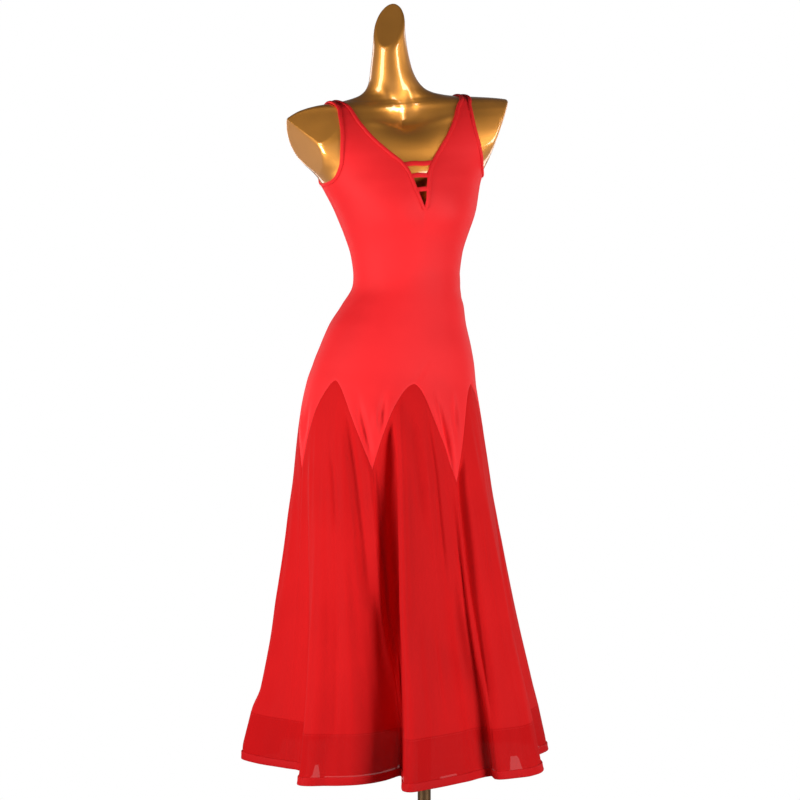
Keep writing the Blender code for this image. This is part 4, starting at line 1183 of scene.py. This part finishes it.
def make_hem_tape(material):
    grid = np.array([skirt_line(HEM_HEIGHT + climb, lift) for climb, lift in TAPE_SECTION])
    obj = make_grid("hem_tape_cloth", grid, material, wrap=True)
    return finished(obj, "chiffon", "hem_tape")


# ---- Stitches ------------------------------------------------------------------------------
def stitches_along(line):
    """Small spindles of thread, laid end to end along a line in the cloth."""
    starts = np.arange(STITCH_PITCH / 2, line_length(line) - STITCH_LENGTH, STITCH_PITCH)
    first = places_along(line, starts)
    last = places_along(line, starts + STITCH_LENGTH)
    middle = (first + last) / 2
    ahead = unit(last - first)
    leant = np.array([0.0, 0.0, 1.0]) + ahead[:, ::-1] * STITCH_LEAN
    side = unit(np.cross(ahead, leant))
    up = np.cross(side, ahead)
    rings = [middle + way * STITCH_RADIUS for way in (side, up, -side, -up)]
    count = len(starts)
    faces = []
    for i in range(count):
        corners = [(2 + ring) * count + i for ring in range(4)]
        for a, b in zip(corners, corners[1:] + corners[:1]):
            faces += [(i, a, b), (count + i, b, a)]
    return np.concatenate([first, last, *rings]), faces


def make_stitches(name, lines, material, slot):
    points, faces = join_meshes([stitches_along(line) for line in lines])
    return finished(make_object(name, set_pose(points), faces, material), slot)


# ---- What the dress rests on ---------------------------------------------------------------
def bisected(mesh, point, direction, lowest, clear):
    """Cuts the mesh along a plane, above a height, and may drop what lies beyond it."""
    faces = [face for face in mesh.faces if min(vert.co.z for vert in face.verts) > lowest]
    edges = dict.fromkeys(edge for face in faces for edge in face.edges)
    verts = dict.fromkeys(vert for face in faces for vert in face.verts)
    cut = bmesh.ops.bisect_plane(
        mesh,
        geom=[*verts, *edges, *faces],
        plane_co=point,
        plane_no=direction,
        clear_outer=clear,
    )
    return [part for part in cut["geom_cut"] if isinstance(part, bmesh.types.BMEdge)]


def cut_off(mesh, point, direction, lowest):
    """Cuts off what lies beyond a plane, and closes the cut with a flat face and a round edge."""
    for turn in CUT_EDGE_TURNS:
        inside = CUT_EDGE * (1 - math.sin(math.radians(turn)))
        bisected(mesh, point - direction * inside, direction, lowest, False)
    edges = bisected(mesh, point, direction, lowest, True)
    for vert in mesh.verts:
        inside = (point - vert.co).dot(direction)
        if vert.co.z < lowest or not -ROUNDING <= inside < CUT_EDGE:
            continue
        left = CUT_EDGE - max(inside, 0)
        push = CUT_EDGE - math.sqrt(max(CUT_EDGE**2 - left**2, 0))
        away = Vector(figure_normal(np.array([vert.co]))[0])
        level = (away - direction * away.dot(direction)).normalized()
        vert.co -= level * push
    filled = bmesh.ops.holes_fill(mesh, edges=edges, sides=0)
    bmesh.ops.inset_region(mesh, faces=filled["faces"], thickness=CUT_INSET)


def form_relief(points):
    """The throat's dips, the hollow between the breasts, the neck's cords and the collar bones."""
    x, y, z = points[..., 0], points[..., 1], points[..., 2]
    total = -HOLLOW_DEPTH * between(z, *HOLLOW_SPAN) * bell(x, HOLLOW_HALF_WIDTH)
    for middle_x, middle_z, half_width, half_height, depth in THROAT_DIPS:
        total -= depth * bell(x - middle_x, half_width) * bell(z - middle_z, half_height)
    climb = np.clip((z - CORD_PART_HEIGHT) / CORD_PART_RISE, 0, 1)
    cord_offset = CORD_OFFSET + CORD_SPREAD * climb
    bone_height = BONE_HEIGHT + BONE_CLIMB * np.abs(x)
    for side in (-1, 1):
        cord = bell(x - CORD_MIDDLE - side * cord_offset, CORD_HALF_WIDTH)
        total += CORD_DEPTH * cord * between(z, *CORD_SPAN)
        bone = bell(z - bone_height, BONE_HALF_HEIGHT)
        total += BONE_DEPTH * bone * between(side * x, *BONE_SPAN)
    return total * smooth_step(-y / THROAT_FADE) + fullness(points)


def cut_direction(slant, turn):
    """The way a cut looks: slant from straight up, turn round from the front."""
    level = math.sin(slant)
    return Vector((level * math.sin(turn), -level * math.cos(turn), math.cos(slant)))


def make_form(material):
    """The figure as one smooth body, with a flat underside and flat cuts at arms and neck."""
    key_heights = np.concatenate([[FORM_BOTTOM], FIGURE[1:, 0]])
    shares = np.linspace(0, len(key_heights) - 1, FORM_ROWS)
    heights = np.interp(shares, np.arange(len(key_heights)), key_heights)
    angles = np.arange(FORM_COLUMNS) * 360 / FORM_COLUMNS
    points = figure_level(*np.meshgrid(heights, angles, indexing="ij")).reshape(-1, 3)
    points = points + figure_normal(points) * form_relief(points)[:, None]
    faces = grid_faces(FORM_ROWS, FORM_COLUMNS, wrap=True)
    last_row = (FORM_ROWS - 1) * FORM_COLUMNS
    faces.append(tuple(reversed(range(FORM_COLUMNS))))
    faces.append(tuple(range(last_row, last_row + FORM_COLUMNS)))
    form = make_object("form_shell", points, faces, material)
    mesh = bmesh.new()
    mesh.from_mesh(form.data)
    outwards, down = math.cos(STUMP_CUT_SLANT), math.sin(STUMP_CUT_SLANT)
    for side in (-1, 1):
        point = Vector((side * STUMP_CUT_POINT.x, 0, STUMP_CUT_POINT.z))
        direction = Vector((side * outwards, -STUMP_CUT_FORWARD, -down)).normalized()
        cut_off(mesh, point, direction, STUMP_LOWEST)
    direction = cut_direction(NECK_CUT_SLANT, NECK_CUT_FACING)
    cut_off(mesh, NECK_CUT_POINT, direction, UNDERARM_HEIGHT)
    bmesh.ops.recalc_face_normals(mesh, faces=mesh.faces[:])
    mesh.to_mesh(form.data)
    mesh.free()
    places = np.array([vertex.co for vertex in form.data.vertices])
    form.data.vertices.foreach_set("co", set_pose(places).astype(np.float32).ravel())
    form.data.shade_smooth()
    form.data.set_sharp_from_angle(angle=SHARP_ANGLE)
    return finished(form, "gold_lacquer", "dress_form")


def turned(name, profile, material):
    """A closed outline of (radius, height) points, anticlockwise, turned about the Z axis."""
    turns = np.radians(np.arange(TURNED_STEPS) * 360 / TURNED_STEPS)
    points, rings = [], []
    for radius, height in profile:
        places = turns if radius else turns[:1]
        rings.append((len(points) + np.arange(TURNED_STEPS) % len(places)).tolist())
        points += [(radius * math.cos(t), radius * math.sin(t), height) for t in places]
    faces = []
    for lower, upper in zip(rings, rings[1:]):
        for i in range(TURNED_STEPS):
            k = (i + 1) % TURNED_STEPS
            corners = list(dict.fromkeys((lower[i], lower[k], upper[k], upper[i])))
            if len(corners) > 2:
                faces.append(corners)
    obj = make_object(name, points, faces, material)
    obj.data.set_sharp_from_angle(angle=SHARP_ANGLE)
    return obj


def rounded_corner(radius, height, edge, start_degrees):
    """Points of a quarter round edge about (radius, height), anticlockwise."""
    turns = np.radians(np.linspace(start_degrees, start_degrees + 90, CORNER_STEPS))
    return [(radius + edge * math.cos(t), height + edge * math.sin(t)) for t in turns]


def make_stand(material):
    """A round base with a boss, a pole in its bore, and a flanged socket under the form."""
    edge = STAND_EDGE
    base = [(0, 0)]
    base += rounded_corner(BASE_RADIUS - edge, edge, edge, -90)
    base += rounded_corner(BASE_RADIUS - edge, BASE_HEIGHT - edge, edge, 0)
    base += rounded_corner(BOSS_RADIUS + edge, BASE_HEIGHT + edge, edge, 180)[::-1]
    base += rounded_corner(BOSS_RADIUS - edge, BOSS_HEIGHT - edge, edge, 0)
    base += [(BORE_RADIUS, BOSS_HEIGHT), (BORE_RADIUS, BASE_HEIGHT), (0, BASE_HEIGHT)]

    socket_top = FORM_BOTTOM - TOUCH_GAP
    socket_bottom = socket_top - SOCKET_HEIGHT
    bore_end = socket_top - SOCKET_ROOF
    flange_bottom = socket_top - SOCKET_FLANGE_THICKNESS
    socket = [(0, bore_end), (BORE_RADIUS, bore_end), (BORE_RADIUS, socket_bottom)]
    socket += rounded_corner(SOCKET_RADIUS - edge, socket_bottom + edge, edge, -90)
    socket += [
        (SOCKET_RADIUS, flange_bottom),
        (SOCKET_FLANGE - FLANGE_CHAMFER, flange_bottom),
        (SOCKET_FLANGE, flange_bottom + FLANGE_CHAMFER),
        (SOCKET_FLANGE, socket_top),
        (0, socket_top),
    ]

    bottom = BASE_HEIGHT + TOUCH_GAP
    top = bore_end - TOUCH_GAP
    pole = [(0, bottom), (POLE_RADIUS, bottom), (POLE_RADIUS, top), (0, top)]
    for name, profile in (("base", base), ("socket", socket), ("pole", pole)):
        obj = turned(f"stand_{name}_fine", profile, material)
        finished(obj, "bronze_paint", f"stand_{name}")


# ---- Camera, lights and floor --------------------------------------------------------------
def make_camera():
    camera = bpy.data.cameras.new("camera")
    camera.lens = LENS
    obj = bpy.data.objects.new("camera", camera)
    bpy.context.scene.collection.objects.link(obj)
    right = Vector((math.cos(CAMERA_AZIMUTH), math.sin(CAMERA_AZIMUTH), 0))
    back = Vector((math.sin(CAMERA_AZIMUTH), -math.cos(CAMERA_AZIMUTH), 0))
    obj.location = right * AIM_RIGHT + back * CAMERA_DISTANCE + Vector((0, 0, CAMERA_HEIGHT))
    tilt = math.atan2(CAMERA_HEIGHT - AIM_HEIGHT, CAMERA_DISTANCE)
    obj.rotation_euler = (math.pi / 2 - tilt, 0, CAMERA_AZIMUTH)
    bpy.context.scene.camera = obj


def make_softboxes(form):
    form_only = bpy.data.collections.new("form_only")
    form_only.objects.link(form)
    for box in SOFTBOXES + FORM_LIGHTS:
        name, degrees, distance, height, aim, width, tallness, watts = box
        light = bpy.data.lights.new(f"softbox_{name}", "AREA")
        light.shape = "RECTANGLE"
        light.size = width
        light.size_y = tallness
        light.energy = watts
        obj = bpy.data.objects.new(f"softbox_{name}", light)
        bpy.context.scene.collection.objects.link(obj)
        turn = CAMERA_AZIMUTH + math.radians(degrees)
        place = Vector((math.sin(turn) * distance, -math.cos(turn) * distance, height))
        obj.location = place
        away = place - Vector((0, 0, aim))
        obj.rotation_euler = away.to_track_quat("Z", "Y").to_euler()
        obj.visible_camera = False
        if box in FORM_LIGHTS:
            obj.light_linking.receiver_collection = form_only


def make_world():
    """White where the camera sees past the floor, and as light a grey that darkens overhead."""
    world = bpy.data.worlds.new("studio")
    world.use_nodes = True
    tree = world.node_tree
    background = tree.nodes["Background"]
    background.inputs["Color"].default_value = (1, 1, 1, 1)
    way = tree.nodes.new("ShaderNodeTexCoord")
    parts = tree.nodes.new("ShaderNodeSeparateXYZ")
    tree.links.new(way.outputs["Generated"], parts.inputs["Vector"])
    glow = ranged(tree, parts.outputs["Z"], WORLD_LOW, WORLD_HIGH, end=WORLD_TURN, smooth=True)
    path = tree.nodes.new("ShaderNodeLightPath")
    strength = add_node(tree, "ShaderNodeMapRange", To_Max=1.0)
    tree.links.new(glow, strength.inputs["To Min"])
    tree.links.new(path.outputs["Is Camera Ray"], strength.inputs["Value"])
    tree.links.new(strength.outputs["Result"], background.inputs["Strength"])
    bpy.context.scene.world = world
    bpy.context.scene.view_settings.view_transform = "Standard"


def make_floor():
    """A pale floor that turns to plain white away from the stand."""
    material, tree, shader = new_material("floor", FLOOR_ROUGHNESS)
    shader.inputs["Specular IOR Level"].default_value = FLOOR_SHINE
    seen = tree.nodes.new("ShaderNodeLightPath").outputs["Is Camera Ray"]
    colour = mixed_colour(tree, seen, FLOOR_AS_LIGHT, FLOOR_SEEN)
    tree.links.new(colour, shader.inputs["Base Color"])
    length = tree.nodes.new("ShaderNodeVectorMath")
    length.operation = "LENGTH"
    tree.links.new(object_places(tree), length.inputs[0])
    share = ranged(tree, length.outputs["Value"], 0.0, 1.0, FLOOR_NEAR, FLOOR_FAR, smooth=True)
    white = add_node(tree, "ShaderNodeEmission", Color=(1, 1, 1, 1))
    tree.links.new(ranged(tree, seen, FLOOR_GLOW, 1.0), white.inputs["Strength"])
    mix = tree.nodes.new("ShaderNodeMixShader")
    tree.links.new(share, mix.inputs["Fac"])
    tree.links.new(shader.outputs["BSDF"], mix.inputs[1])
    tree.links.new(white.outputs["Emission"], mix.inputs[2])
    tree.links.new(mix.outputs["Shader"], tree.nodes["Material Output"].inputs["Surface"])
    turns = np.radians(np.arange(0, 360, FLOOR_STEP))
    rim = stacked(FLOOR_RADIUS * np.cos(turns), FLOOR_RADIUS * np.sin(turns), -FLOOR_DROP)
    floor = make_object("floor", rim, [tuple(range(len(turns)))], material)


# ---- Putting it together -------------------------------------------------------------------
def make_dress(jersey, chiffon, band, tape):
    for name, front in (("bodice_front", True), ("bodice_back", False)):
        obj = make_bodice(f"{name}_cloth", front, jersey)
        finished(obj, "jersey", name)
    for number, height in enumerate(CROSS_STRAPS, start=1):
        make_cross_strap(number, height, jersey)
    for end, front in (("front", True), ("back", False)):
        make_binding(f"neck_binding_{end}", neck_line(front), False, jersey)
    for end, side in (("left", 1), ("right", -1)):
        make_binding(f"armhole_binding_{end}", armhole_line(side), True, jersey)
    for number in range(1, GODET_COUNT + 1):
        make_godet(number, chiffon)
        make_hem_band(number, band)
    make_hem_tape(tape)


def make_all_stitches(thread):
    skirt_lines = [looped(skirt_line(*place)) for place in SKIRT_STITCHES]
    make_stitches("hem_stitches", skirt_lines, thread, "chiffon")
    binding_lines = []
    for front in (True, False):
        line = evened(neck_line(front), NECK_STITCH_POINTS, False)
        binding_lines.append(beside_edge(line, False, *BINDING_STITCHES))
    for side in (1, -1):
        line = evened(armhole_line(side), ARMHOLE_STITCH_POINTS, True)
        binding_lines.append(looped(beside_edge(line, True, *BINDING_STITCHES)))
    make_stitches("binding_stitches", binding_lines, thread, "jersey")


def main():
    make_camera()
    jersey, chiffon, band, tape, thread = [cloth_material(*cloth) for cloth in CLOTHS]
    make_dress(jersey, chiffon, band, tape)
    make_all_stitches(thread)
    form = make_form(lacquer_material())
    make_stand(bronze_material())
    make_softboxes(form)
    make_world()
    make_floor()


main()
